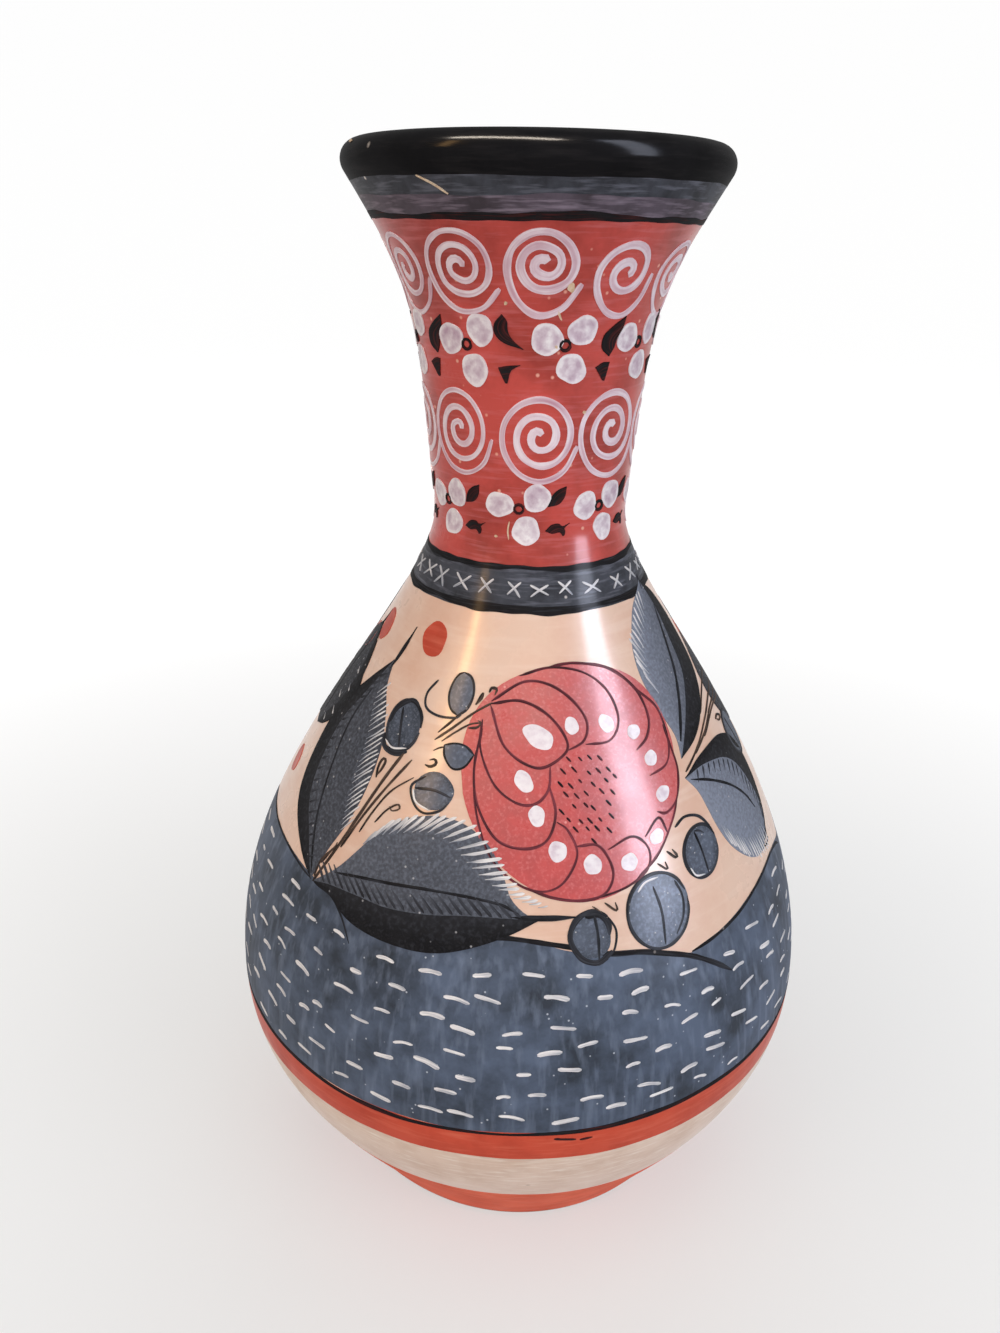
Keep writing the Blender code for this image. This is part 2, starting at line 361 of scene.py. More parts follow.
def seamCoil(middle):
    heights = steps(middle - pressedCoil["width"] / 2, middle + pressedCoil["width"] / 2, 1.4)
    dome = np.cos(np.pi * (heights - middle) / pressedCoil["width"])
    back = lining(heights[::-1], form["gap"])
    radius = back[:, 0].mean()

    def sectionAt(turn):
        dent = pressedCoil["fingerDepth"] - fingerMarks(turn, radius)
        rise = pressedCoil["rise"] * (0.4 + 0.6 * dome) - dent * dome
        return np.concatenate([back, lining(heights, form["gap"] + rise)])
    return sectionAt


def cornerCoil():
    floor, leg = form["base"] + form["gap"], pressedCoil["cornerLeg"]
    corner = liningLevel(floor, form["gap"])
    back = lining(steps(corner + leg, corner, 1.5), form["gap"])
    toe = np.array([back[-1, 0] - leg, floor])
    share = np.linspace(0, 1, 9)[1:-1, None]

    def sectionAt(turn):
        depth = leg / 10 + fingerMarks(turn, toe[0]) - pressedCoil["fingerDepth"]
        hollow = np.sin(math.pi * share) * depth
        face = toe + (back[0] - toe) * share + hollow * np.array([1.0, -1.0])
        return np.concatenate([back, [toe], face])
    return sectionAt


def constant(section):
    return lambda turn: section


bellySeam, waistSeam, mouthSeam = form["belly"][1], form["waist"][1], form["mouth"][1]
gap = form["gap"]
clayWalls = (  # name, section, whether it closes, slot, the solid it stands for
    ("foot_disc", constant(baseSection()), False, "red_slip_foot", "base_slab"),
    ("corner_coil_pressed", cornerCoil(), True, "raw_clay", "base_corner_coil"),
    ("lower_bowl_wall", constant(ringSection(form["base"] + gap, bellySeam, False, True)), True, "slip_bowl",
     "lower_bowl"),
    ("belly_coil_pressed", seamCoil(bellySeam + form["lap"]), True, "raw_clay", "belly_seam_coil"),
    ("shoulder_wall", constant(ringSection(bellySeam + gap, waistSeam, True, True)), True, "peach_slip",
     "shoulder_bowl"),
    ("neck_wall", constant(ringSection(waistSeam + gap, mouthSeam, True, False)), True, "red_slip_neck",
     "neck"),
    ("neck_coil_pressed", seamCoil(waistSeam + form["lap"]), True, "raw_clay", "neck_seam_coil"),
    ("rolled_lip", constant(lipSection()), True, "black_slip", "lip_roll"),
)
for name, section, closed, slotName, node in clayWalls:
    turnPiece(name, section, closed, earthenware, slotName, node)
print("clay walls turned")

filmSink = 0.05  # mm that each film reaches into the clay, so that no gap shows


def newCoat():
    return {"points": [], "faces": [], "load": [], "brush": [], "count": 0}


def addFilm(coat, angle, path, lift, load, along, across, wrap=False):
    # a closed skin of paint over a grid of places, sunk a little into the clay
    if not wrap:
        facing = (np.diff(angle, axis=1)[:-1] * np.diff(path, axis=0)[:, :-1]
                  - np.diff(path, axis=1)[:-1] * np.diff(angle, axis=0)[:, :-1]) * radiusAt(path[:-1, :-1])
        if facing.sum() < 0:  # the grid runs the other way round
            angle, path, lift, load, along, across = (
                g[:, ::-1] for g in (angle, path, lift, load, along, across))
    rows, columns = angle.shape
    top = np.arange(rows * columns).reshape(rows, columns) + coat["count"]
    low = top + rows * columns
    if wrap:
        top, low = (np.concatenate([g, g[:, :1]], 1) for g in (top, low))
    quads = [np.stack([top[:-1, :-1], top[:-1, 1:], top[1:, 1:], top[1:, :-1]], -1).reshape(-1, 4),
             np.stack([low[:-1, :-1], low[1:, :-1], low[1:, 1:], low[:-1, 1:]], -1).reshape(-1, 4)]
    rims = [(top[0], low[0]), (top[-1, ::-1], low[-1, ::-1])]
    if not wrap:
        rims += [(top[:, -1], low[:, -1]), (top[::-1, 0], low[::-1, 0])]
    for upper, lower in rims:
        quads.append(np.stack([lower[:-1], lower[1:], upper[1:], upper[:-1]], -1))
    coat["faces"] += [tuple(q) for q in np.concatenate(quads).tolist()]
    for places in (potPoint(angle, path, lift), potPoint(angle, path, -filmSink)):
        coat["points"].append(places.reshape(-1, 3))
        coat["load"].append(load.ravel())
        coat["brush"].append(np.stack([along, across, np.full(along.shape, hand.uniform(0, 900))],
                                      -1).reshape(-1, 3) * mm)
    coat["count"] += 2 * rows * columns


def finishCoat(name, coat, material, slotName):
    data = [("load", "FLOAT", np.concatenate(coat["load"])),
            ("brush", "FLOAT_VECTOR", np.concatenate(coat["brush"]))]
    return makePiece(name, np.concatenate(coat["points"]), coat["faces"], material, slotName, data)


edgeWaves = ((4, 1.0, 1.0), (9, 0.7, 2.3), (23, 0.35, 3.1))  # waves round the pot, share, phase


def wavyEdge(angle, amount, seed):  # an edge drawn by hand on a slowly turning pot
    turn = np.radians(angle)
    return amount * sum(share * np.sin(count * turn + phase * seed)
                        for count, share, phase in edgeWaves) / 1.5


ringAngles = np.arange(form["segments"]) * 360 / form["segments"]


def ringFilm(coat, low, high, lift, rowMm=2.6):
    rows = max(2, math.ceil(float(np.mean(high - low)) / rowMm) + 1)
    share = np.linspace(0, 1, rows)[:, None]
    path = low + (high - low) * share
    angle = np.broadcast_to(ringAngles, path.shape)
    ones = np.ones(path.shape)
    addFilm(coat, angle, path, lift * ones, ones, np.radians(angle) * radiusAt(path), path, wrap=True)


def brushedRing(name, low, high, lift, material, slotName, wave=0.3, rowMm=2.6):
    coat = newCoat()
    edges = [level + wavyEdge(ringAngles, wave, 1 + level) for level in (low, high)]
    ringFilm(coat, edges[0], edges[1], lift, rowMm)
    return finishCoat(name, coat, material, slotName)


# Iron-red slip, brushed on thick and stone-polished: deep satin red, cloudy where it pooled
redSlip = slipFinish(
    "burnished iron-red slip", tones=("#C54C44", "#9A372E", "#D07172"), cloudMm=20, streakMm=1.1,
    streak=0.55, fleck=("#E3A18E", 3.4, 0.3), roughness=(0.26, 0.42), sheen=0.08, coat=0.3,
    coatRoughness=0.14)
# The same slip in one coat over cream: brighter and more orange
orangeSlip = slipFinish(
    "burnished orange-red slip", tones=("#C64E38", "#B0402D", "#DA7058"), cloudMm=16, streakMm=1.3,
    fleck=("#5A2A22", 3, 0.06), roughness=(0.28, 0.44), sheen=0.05, coatRoughness=0.16)
# The same orange-red slip, made lighter for the foot: painted light that offsets the shade low down by the
# table, giving a full orange-red; it has no base sheen
footSlipPaintedLight = slipFinish(
    "orange-red slip on the foot, lightened as painted light", tones=("#E8694B", "#D6583C", "#EE8B72"), cloudMm=16, streakMm=1.0,
    fleck=("#5A2A22", 3, 0.06), roughness=(0.32, 0.48))
# Pale kaolin slip, stone-polished: warm cream with a soft gloss and a few dark grains
creamSlip = slipFinish(
    "burnished cream slip", tones=("#E4C1AB", "#DBB098", "#EDD2C0"), cloudMm=18, streakMm=2.0,
    fleck=("#8A6248", 4.5, 0.07), roughness=(0.24, 0.40), sheen=0.25, coat=0.3, coatRoughness=0.12)
# The same slip brushed thin below the belly: the brush lines and the clay show through
thinCream = slipFinish(
    "thin brushed cream slip", tones=("#DCC2B0", "#CFB29F", "#EBDDD1"), cloudMm=14, streakMm=0.7,
    streak=0.8, fleck=("#8A6248", 7, 0.12), sheen=0.25, coat=0.15, bumpMm=0.06)
# Blue-grey slip, washed on in upright strokes: soft streaks, and dark clouds where it pooled
blueGreySlip = slipFinish(
    "washed blue-grey slip", tones=("#566175", "#2F353F", "#8490A6"), cloudMm=20, streakMm=2.4,
    streakWay="up", streak=0.42, fleck=("#B4B8C1", 1.9, 0.26), coat=0.32, coatRoughness=0.36)
# Manganese-grey slip of the bands: smoky, cloudy, rubbed paler in places
smokeSlip = slipFinish(
    "smoky grey slip", tones=("#464850", "#2F3035", "#7D7F8C"), cloudMm=8, streakMm=0.8, streak=0.6,
    fleck=("#D8D2CE", 3.5, 0.16), roughness=(0.26, 0.42), coat=0.2)
# The grey wiped thin over red at its lower edge turns mauve
mauveSlip = slipFinish(
    "mauve wiped slip", tones=("#5F5560", "#40393F", "#9A8C9B"), cloudMm=14, streakMm=0.8, streak=0.7,
    fleck=("#CFC6C8", 4, 0.2), roughness=(0.28, 0.44), coat=0.2)
# Manganese-black slip polished hard on the lip: near mirror, with a few pale grains
blackSlip = slipFinish(
    "polished manganese-black slip", tones=("#151416", "#0E0D0F", "#2A2728"), cloudMm=10, streakMm=1.0,
    fleck=("#BDB2AA", 6, 0.1), roughness=(0.12, 0.24), coat=0.1, coatRoughness=0.16, bumpMm=0.2)

at = {  # mm up the skin where one slip stops and the next starts
    "footStart": -2.0, "footTop": 38.0, "beltStart": 65.6, "bellyLine": 74.9, "beltEnd": 75.5,
    "waistBand": 210.6, "neckStart": 223.0, "mouthLine": 307.7, "mouthWash": 309.6, "mauveEnd": 313.5,
    "lipStart": 317.7, "lipEnd": float(skinPath[-1]) - 0.3,
}
runUnder = 1.0  # mm by which a coat runs on below the next one
# name, from, to, mm off the clay, slip and slot; then the wave of the edges and mm of a row, where unusual
coats = (
    # the foot's slip is lightened here as painted light against the shade by the table
    ("foot_coat", at["footStart"], at["footTop"], 0.07, footSlipPaintedLight, "red_slip_foot"),
    ("low_cream_coat", at["footTop"] - runUnder, at["beltStart"] + runUnder, 0.05, thinCream, "slip_bowl"),
    ("belt_coat", at["beltStart"], at["beltEnd"], 0.07, orangeSlip, "red_slip_foot"),
    ("cream_coat", at["bellyLine"], at["waistBand"] + runUnder, 0.05, creamSlip, "peach_slip"),
    ("waist_band_coat", at["waistBand"], at["neckStart"], 0.10, smokeSlip, "slip_bowl", 0.15),
    ("neck_coat", at["neckStart"] - runUnder, at["mouthLine"] + runUnder, 0.06, redSlip, "red_slip_neck"),
    ("mouth_wash_coat", at["mouthWash"] - runUnder, at["lipStart"] + runUnder, 0.08, smokeSlip, "slip_bowl"),
    ("mouth_mauve_coat", at["mouthWash"] - runUnder, at["mauveEnd"], 0.10, mauveSlip, "slip_bowl", 0.45, 1.2),
    ("lip_coat", at["lipStart"], at["lipEnd"], 0.11, blackSlip, "black_slip", 0.2, 0.8),
)
for settings in coats:
    brushedRing(*settings)
print("slip coats brushed on")


def smoothLine(points, spacing):  # a curve through the points, evenly spaced
    p = np.array(points, float)
    p = np.concatenate([[2 * p[0] - p[1]], p, [2 * p[-1] - p[-2]]])
    t = np.linspace(0, 1, 13)[:-1, None]
    spans = [0.5 * (2 * b + (c - a) * t + (2 * a - 5 * b + 4 * c - d) * t * t
                    + (3 * b - a - 3 * c + d) * t ** 3) for a, b, c, d in zip(p, p[1:], p[2:], p[3:])]
    curve = np.concatenate(spans + [p[-2:-1]])
    path = pathAlong(curve)
    even = np.linspace(0, path[-1], max(4, math.ceil(path[-1] / spacing) + 1))
    return np.stack([np.interp(even, path, column) for column in curve.T], -1)


def onPot(spot, grid):  # flat mm round a spot to degrees and mm up the skin
    path = spot[1] + grid[..., 1]
    return spot[0] + np.degrees(grid[..., 0] / radiusAt(path)), path


def shaky(count, amount):  # slow waver of a hand-held brush
    marks = [stray(amount) for _ in range(max(3, count // 4 + 2))]
    return np.interp(np.linspace(0, len(marks) - 1, count), range(len(marks)), marks)


brush = {  # mm, and shares of the width and of the load
    "spacing": 0.9, "leastHalf": 0.08, "fineBelow": 1.6, "waver": 0.16, "loadWaver": 0.12, "crown": 0.12,
}


def brushLine(coat, spot, points, width, lift, tips=(1.5, 1.5), load=(1.0, 0.8), blunt=0.35, press=(1, 1),
              edging=0.0):  # edging: the paint dries thicker along its edges
    line = smoothLine(points, min(brush["spacing"], 0.5 + width / 4))
    count = len(line)
    tangent = np.gradient(line, axis=0)
    tangent /= np.hypot(*tangent.T)[:, None]
    path = pathAlong(line)
    swell = np.minimum(ramp(path + blunt * tips[0], -0.2, tips[0] + 0.01),
                       ramp(path[-1] - path + blunt * tips[1], -0.2, tips[1] + 0.01))
    half = np.maximum(width / 2 * swell * np.linspace(*press, count) * (1 + shaky(count, brush["waver"])),
                      brush["leastHalf"])
    side = np.linspace(-1, 1, 3 if width < brush["fineBelow"] else 5)
    grid = line[:, None] + np.stack([-tangent[:, 1], tangent[:, 0]], -1)[:, None] * (
        half[:, None] * side)[..., None]
    angle, height = onPot(spot, grid)
    body = np.linspace(load[0], load[1], count) + shaky(count, brush["loadWaver"])
    shape = np.ones(angle.shape)
    crown = lift * (1 - brush["crown"] * side ** 2)
    addFilm(coat, angle, height, crown * shape, body[:, None] * shape + edging * (side ** 2 - 0.6),
            path[:, None] * shape, half[:, None] * side * shape)


hairMm = 0.12  # a patch keeps this width where its two edges meet


def washPatch(coat, spot, edge, otherEdge, lift, load=(1.0, 1.0), cell=1.8):
    first, second = smoothLine(edge, cell), smoothLine(otherEdge, cell)
    count = max(len(first), len(second))
    share = np.linspace(0, 1, count)
    first, second = (np.stack([np.interp(share, np.linspace(0, 1, len(line)), column)
                               for column in line.T], -1) for line in (first, second))
    middle = (first + second) / 2
    spread = np.hypot(*(second - first).T)
    side = np.linspace(0, 1, max(4, math.ceil(spread.max() / cell) + 1))
    grid = first[:, None] + (second - first)[:, None] * side[:, None]
    thin = spread < hairMm
    if thin.any():
        normal = np.gradient(middle, axis=0)
        normal = np.stack([-normal[:, 1], normal[:, 0]], -1)
        normal /= np.maximum(np.hypot(*normal.T), 1e-6)[:, None]
        sign = np.sign(np.sum((second - first)[~thin] * normal[~thin])) or 1.0
        for i in np.flatnonzero(thin):
            grid[i] = middle[i] + sign * normal[i] * hairMm / 2 * (2 * side[:, None] - 1)
    angle, path = onPot(spot, grid)
    body = load[0] + (load[1] - load[0]) * side + np.zeros(angle.shape)
    along = pathAlong(middle)[:, None] + np.zeros(angle.shape)
    addFilm(coat, angle, path, np.full(angle.shape, lift), body, along, spread[:, None] * side)


def dab(coat, spot, centre, size, lift, tilt=0.0, uneven=0.05, load=(0.56, 1.15), cell=1.0):
    # one touch of a loaded brush: paint runs to the rim and dries thicker there
    rows = max(13, math.ceil(max(size) / cell))
    columns = max(11, math.ceil(max(size) / cell / 1.3))
    bend = np.linspace(0.13, math.pi - 0.13, rows)[:, None]
    side = np.linspace(-1, 1, columns)[None, :]
    x, y = -np.cos(bend) + 0 * side, np.sin(bend) * side
    turn = np.arctan2(y, x)
    phase = [hand.uniform(0, 6.28) for _ in range(3)]
    blot = 1 + uneven * (np.sin(2 * turn + phase[0]) + 0.7 * np.sin(3 * turn + phase[1])
                         + 0.5 * np.sin(5 * turn + phase[2]))
    u, v = x * blot * size[0] / 2, y * blot * size[1] / 2
    lean = math.radians(tilt)
    grid = np.stack([centre[0] + u * math.cos(lean) - v * math.sin(lean),
                     centre[1] + u * math.sin(lean) + v * math.cos(lean)], -1)
    angle, path = onPot(spot, grid)
    rim = ramp(np.hypot(x, y), 0.7, 0.92)
    body = load[0] + (load[1] - load[0]) * rim + hand.uniform(-0.08, 0.12)
    addFilm(coat, angle, path, lift * (0.85 + 0.15 * rim), body, u + centre[0], v)


lifts = {  # mm off the clay: what is painted later lies higher
    "wash": 0.11, "ring": 0.15, "dash": 0.16, "smear": 0.17, "hillLine": 0.18, "leaf": 0.21, "shade": 0.25,
    "bud": 0.26, "line": 0.30, "white": 0.34, "berryRing": 0.37, "chip": 0.39,
}
sprays = (0, 180)  # the same spray is painted on the front and on the back
# degrees and path from which the flat mm of the motifs are counted
leftSpot, leafSpot, budSpot, lowSpot, rightSpot = (-52, 165), (-20, 138), (-22, 172), (30, 140), (52, 172)


def turnSpot(spot, degrees):
    return spot[0] + degrees, spot[1]


# Black slip drawn with a fine brush: soft black, greyer where the brush ran dry. Hairs of a brush leave marks
# of about 0.1 mm; in all strokes they are drawn coarser, so that they show
inkLine = {
    "tones": ("#1C1B1D", "#131214", "#333033"), "cloudMm": 6, "streakMm": 0.5,
    "streakWay": "brush", "streak": 0.6, "fleck": ("#77706E", 3, 0.1), "coat": 0.1,
    "bumpMm": 0.02, "dry": 0.35,
}
creamInk = slipFinish("brushed black slip on cream", **inkLine, under="#6E594D")
redInk = slipFinish("brushed black slip on red", **inkLine, under="#6A2C2B")
petalInk = slipFinish("thinned black slip on red", **inkLine, under="#86414A")
greyInk = slipFinish("brushed black slip on grey", **inkLine, under="#4A4C54")
# White kaolin slip in thin strokes: chalky, the coat below shines through where it is thin
kaolin = {
    "tones": ("#E6E1E0", "#D5CFD0", "#F4F0EE"), "cloudMm": 4, "streakMm": 0.45,
    "streakWay": "brush", "streak": 0.6, "fleck": ("#B9AEB0", 2.5, 0.12),
    "roughness": (0.34, 0.5), "sheen": 0.25, "coat": 0.1, "coatRoughness": 0.2, "bumpMm": 0.03, "dry": 0.4,
}
whiteOnGrey = slipFinish("white slip strokes on grey", **kaolin, under="#7E8592")
# The same strokes on red: pink where the slip is thin
whiteOnRed = slipFinish("white slip strokes on red", **dict(
    kaolin, tones=("#E9D8DF", "#DCC2CC", "#F4E8EC"), under="#BD8A99", dry=0.5, streakMm=0.9))
# Dabs of the same slip: a bright rim, and a middle so thin that it turns lilac
whiteDabs = slipFinish("white slip dabs", **dict(
    kaolin, tones=("#ECE3E6", "#DDCFD6", "#F6F2F1"), under="#B08FA3", streakWay="blot", streakMm=2.2))

ringLines = {  # path and mm of the black lines round the pot
    "waist": ((211.6, 2.0), (222.4, 1.5)), "mouth": ((308.6, 1.7),), "belly": ((74.9, 1.3),),
}
bellySmears = (  # slips of the brush below the line, (spot, points, mm)
    ((7.6, 72.4), ((-3.4, 0.6), (-1, 0.2), (2.4, -0.3)), 0.8),
    ((10.8, 71.8), ((-1.6, 0), (1.8, 0.3)), 0.7),
    ((190, 73.0), ((-3, 0.4), (0, 0), (3, 0.2)), 0.8),
)


def lineRing(name, levels, material, slotName, smears=()):
    coat = newCoat()
    for spot, points, width in smears:
        brushLine(coat, spot, points, width, lifts["smear"], tips=(1.5, 2.5), load=(0.9, 0.5))
    for level, width in levels:
        middle = level + wavyEdge(ringAngles, 0.35, level)
        half = width / 2 * (1 + 0.35 * wavyEdge(ringAngles, 1.0, 2 * level))
        ringFilm(coat, middle - half, middle + half, lifts["ring"])
    return finishCoat(name, coat, material, slotName)


lineRing("waist_band_lines", ringLines["waist"], greyInk, "black_slip")
lineRing("mouth_line", ringLines["mouth"], redInk, "black_slip")
lineRing("belly_line", ringLines["belly"], redInk, "black_slip", bellySmears)

waistCrosses = {"path": 216.7, "count": 26, "wide": 4.4, "tall": 3.8, "stroke": 0.56, "first": 4,
                "strayDegrees": 2.2, "strayMm": 0.6, "bend": 0.3}
crosses = newCoat()
for i in range(waistCrosses["count"]):
    spot = (i * 360 / waistCrosses["count"] + waistCrosses["first"] + stray(waistCrosses["strayDegrees"]),
            waistCrosses["path"] + stray(waistCrosses["strayMm"]))
    w, t = (waistCrosses[key] / 2 * hand.uniform(0.75, 1.2) for key in ("wide", "tall"))
    for side in (1, -1):
        ends = [(-w * side, t), (stray(waistCrosses["bend"]), 0), (w * side, -t * hand.uniform(0.8, 1.2))]
        brushLine(crosses, spot, ends, waistCrosses["stroke"], lifts["white"], tips=(0.8, 1.6),
                  load=(0.66, 0.32))
finishCoat("waist_crosses", crosses, whiteOnGrey, "slip_bowl")

# degrees, mm above the path of the row, width and height of the outer turn, drop of the tail, degrees of its
# end, turns, stroke; "usual" gives the last six for those round the back
neckScrolls = {
    "upper": {"path": 296.8, "front": [
        (-61.0, -0.8, 17.0, 17.6, 1.6, -12, 2.7, 1.4), (-29.8, 0.2, 18.0, 17.6, 1.6, -30, 3.0, 1.5),
        (1.6, 0.9, 16.8, 16.4, 3.2, -24, 2.9, 2.0), (34.4, -0.9, 16.0, 15.2, 2.8, -2, 2.2, 1.9),
        (68.0, -1.2, 16.6, 16.4, 2.6, -10, 2.5, 1.8)],
        "more": 6, "usual": (17.0, 16.8, 2.6, -20, 2.6, 1.7)},
    "lower": {"path": 256.6, "front": [
        (-79.0, 0.4, 18.5, 20.5, 1.2, -15, 2.8, 1.4), (-41.8, 0.8, 18.2, 20.8, 0.4, -8, 3.0, 1.4),
        (2.2, 0.2, 18.4, 20.0, 0.8, -14, 2.9, 1.75), (43.0, 1.0, 20.0, 20.2, 1.6, -12, 2.9, 1.7)],
        "more": 5, "usual": (18.4, 20.4, 1.2, -12, 2.75, 1.6)},
}
scrollHand = {  # share of the size at the tail and at the heart, degrees, mm
    "tail": 1.08, "heart": 0.07, "sagFrom": -40, "sagOver": 220, "sagFades": 40, "waver": 0.22,
    "strayMm": 0.8,
}


def scroll(coat, spot, wide, tall, drop, tailDegrees, turns, stroke):
    wound = np.linspace(0, turns * 360, math.ceil(turns * 30))
    shrink = np.interp(wound, [0, 180, turns * 360],
                       [scrollHand["tail"], 1.0, scrollHand["heart"]])
    sag = drop * np.sin(np.pi * np.clip((wound - scrollHand["sagFrom"]) / scrollHand["sagOver"], 0, 1))
    bearing = np.radians(tailDegrees - wound)
    outward = sag * 0.5 * np.exp(-wound / scrollHand["sagFades"])
    points = np.stack([np.cos(bearing) * (wide / 2 * shrink + outward),
                       np.sin(bearing) * (tall / 2 * shrink + sag)], -1)
    points += np.stack([shaky(len(points), scrollHand["waver"]) for _ in range(2)], -1)
    brushLine(coat, spot, points[::3], stroke, lifts["line"], tips=(1.2, 0.6), load=(0.7, 1.05), blunt=0.5,
              press=(0.75, 1.1), edging=0.4)


def roundTheBack(front, more):  # degrees of the marks that close a row behind
    first, last = front[-1], front[0] + 360
    return [first + (last - first) * (i + 1) / (more + 1) for i in range(more)]


for row, scrolls in neckScrolls.items():
    coat = newCoat()
    marks = list(scrolls["front"])
    for turned in roundTheBack([mark[0] for mark in marks], scrolls["more"]):
        marks.append((turned, stray(scrollHand["strayMm"])) + scrolls["usual"])
    for degrees, rise, *shape in marks:
        scroll(coat, (degrees, scrolls["path"] + rise), *shape)
    finishCoat(row + "_neck_scrolls", coat, whiteOnRed, "red_slip_neck")

berryRows = {  # degrees of each cluster, and mm of its marks from its middle
    "upper": {"path": 279.2, "front": (-75.0, -33.0, 11.6, 54.2), "more": 5, "size": 7.4,
              "dabs": ((-4.6, 0.8), (4.7, 2.8), (1.8, -6.4)), "leaves": ("blade", "claw"),
              "hooks": ("solid", "bird"), "hookAt": (10.8, -6.6)},
    "lower": {"path": 238.4, "front": (-56.9, -8.6, 38.6), "more": 5, "size": 7.2,
              "dabs": ((-4.5, 0.2), (4.4, 2.0), (2.0, -6.6)), "leaves": ("sprig", "sprig"),
              "hooks": ("barbed", "barbed"), "hookAt": (10.2, -6.0)},
}
berryLeaves = {  # two edges of each dark stroke between the clusters
    "claw": (((10.3, 6.8), (8.3, 4.8), (8.0, 2.4), (10.0, 0.2), (14.6, -1.3)),
             ((10.3, 6.8), (11.4, 5.2), (11.3, 2.9), (12.3, 0.8), (14.6, -1.3))),
    "blade": (((16.8, 5.8), (13.2, 3.8), (10.3, 1.4), (10.0, -1.6), (12.4, -3.6)),
              ((16.8, 5.8), (16.2, 3.2), (14.5, 0.6), (13.8, -1.6), (12.4, -3.6))),
    "sprig": (((7.6, 0.0), (8.4, 2.6), (10.2, 4.4), (12.4, 5.2)),
              ((7.6, 0.0), (10.4, 0.6), (12.0, 2.6), (12.4, 5.2))),
    "bird": (((-2.6, 0.9), (-0.2, 1.4), (2.8, 1.6)),
             ((-2.6, 0.9), (-2.0, -0.8), (-0.8, -3.0), (0.1, -0.6), (0.8, 0.5), (2.8, 1.6))),
    "solid": (((-2.2, 0.5), (0.0, 1.6), (2.0, 1.6)),
              ((-2.2, 0.5), (-0.9, -1.2), (0.6, -3.0), (1.3, -1.2), (2.0, 1.6))),
    "barbed": (((-3.2, -0.5), (-1.6, 1.1), (0.4, 1.4), (1.3, 0.6), (3.3, 1.3)),
               ((-3.2, -0.5), (-1.4, -1.3), (0.6, -1.0), (1.7, -2.2), (2.2, -0.8), (1.8, 0.0), (3.3, 1.3))),
}
berryRing = {"middle": (0.2, -0.6), "radius": 1.2, "radians": 6.5, "points": 13, "stroke": 0.75}
berryStray = 0.4  # mm
ring = arcPoints(berryRing["middle"], berryRing["radius"], 0, berryRing["radians"], berryRing["points"])
berries, berryMarks = newCoat(), newCoat()
for cluster in berryRows.values():
    degrees = list(cluster["front"]) + roundTheBack(cluster["front"], cluster["more"])
    for number, turned in enumerate(degrees):
        spot = (turned, cluster["path"] + stray(berryStray))
        for u, v in cluster["dabs"]:
            centre = (u + stray(berryStray), v + stray(berryStray))
            size = [cluster["size"] * hand.uniform(0.94, 1.06) for _ in range(2)]
            dab(berries, spot, centre, size, lifts["white"], tilt=hand.uniform(0, 90))
        brushLine(berryMarks, spot, ring, berryRing["stroke"], lifts["berryRing"], tips=(0.5, 0.5))
        leaf, hook = cluster["leaves"][number % 2], cluster["hooks"][number % 2]
        washPatch(berryMarks, spot, *berryLeaves[leaf], lifts["line"], load=(1.0, 0.8), cell=0.8)
        edges = [np.array(edge) + cluster["hookAt"] for edge in berryLeaves[hook]]
        washPatch(berryMarks, spot, *edges, lifts["line"], load=(1.0, 0.8), cell=0.7)
finishCoat("neck_berries", berries, whiteDabs, "red_slip_neck")
finishCoat("neck_leaf_marks", berryMarks, redInk, "black_slip")

wear = {  # degrees, path and size of chips; scratches as (spot, points, mm)
    "chips": ((12.0, 292.4, 1.8, 2.0), (8.6, 285.8, 0.6, 2.0), (8.0, 278.6, 0.6, 0.8),
              (-13.0, 288.6, 0.8, 0.7), (24.0, 262.6, 0.9, 0.7), (-21.0, 230.4, 0.9, 0.6),
              (-66.0, 326.0, 1.0, 0.8), (128.0, 294.0, 1.6, 1.4), (151.0, 327.0, 1.0, 0.8),
              (203.0, 270.4, 1.0, 1.2)),
    "scratches": (((0, 285), ((-28.6, 32.7), (-24.4, 30.8), (-20.7, 28.5)), 0.34),
                  ((-13.8, 232), ((0.2, 2.6), (-0.2, 0.2), (0.1, -2.2)), 0.4),
                  ((170, 300), ((-4, 3), (5, -2)), 0.4)),
}
chips = newCoat()
for degrees, path, wide, tall in wear["chips"]:
    dab(chips, (degrees, path), (0, 0), (wide, tall), lifts["chip"], tilt=stray(40), uneven=0.12,
        load=(0.7, 1.0), cell=0.4)
for spot, points, width in wear["scratches"]:
    brushLine(chips, spot, points, width, lifts["chip"], tips=(2, 3), load=(1.0, 0.6))
# Chipped slip: the pale body shows, matt and dusty
chippedClay = slipFinish(
    "chipped slip with pale clay showing", tones=("#DCC4A8", "#C4A07E", "#EFE2D0"), cloudMm=3,
    streakMm=0.6, streakWay="blot", fleck=("#8A6248", 2, 0.2), roughness=(0.7, 0.9), sheen=0.1, coat=0.0,
    coatRoughness=0.4, bumpMm=0.08)
finishCoat("worn_chips", chips, chippedClay, "raw_clay")
print("neck painted")

# degrees and path of the skyline of the blue-grey hills; it repeats on the back
hills = {"skyline": ((-90, 127.5), (-84, 129.9), (-60, 129.9), (-47.5, 128.6), (-30, 127.6), (-5, 128.2),
                     (3.2, 127.0), (8.6, 124.8), (18.3, 122.0), (26.4, 119.7), (33, 116.6), (37, 117.4),
                     (45.6, 119.4), (54, 121.5), (66, 123.0), (72, 122.4), (78, 119.6), (82, 118.4),
                     (86, 122.6), (90, 127.5)),
         "foot": 75.4}
skyline = smoothLine(hills["skyline"], 1.0)
skylineAt = np.interp((ringAngles + 90) % 180 - 90, skyline[:, 0], skyline[:, 1])
hillWash = newCoat()
ringFilm(hillWash, hills["foot"] + wavyEdge(ringAngles, 0.3, 3), skylineAt, lifts["wash"], 2.2)
finishCoat("hill_wash", hillWash, blueGreySlip, "slip_bowl")

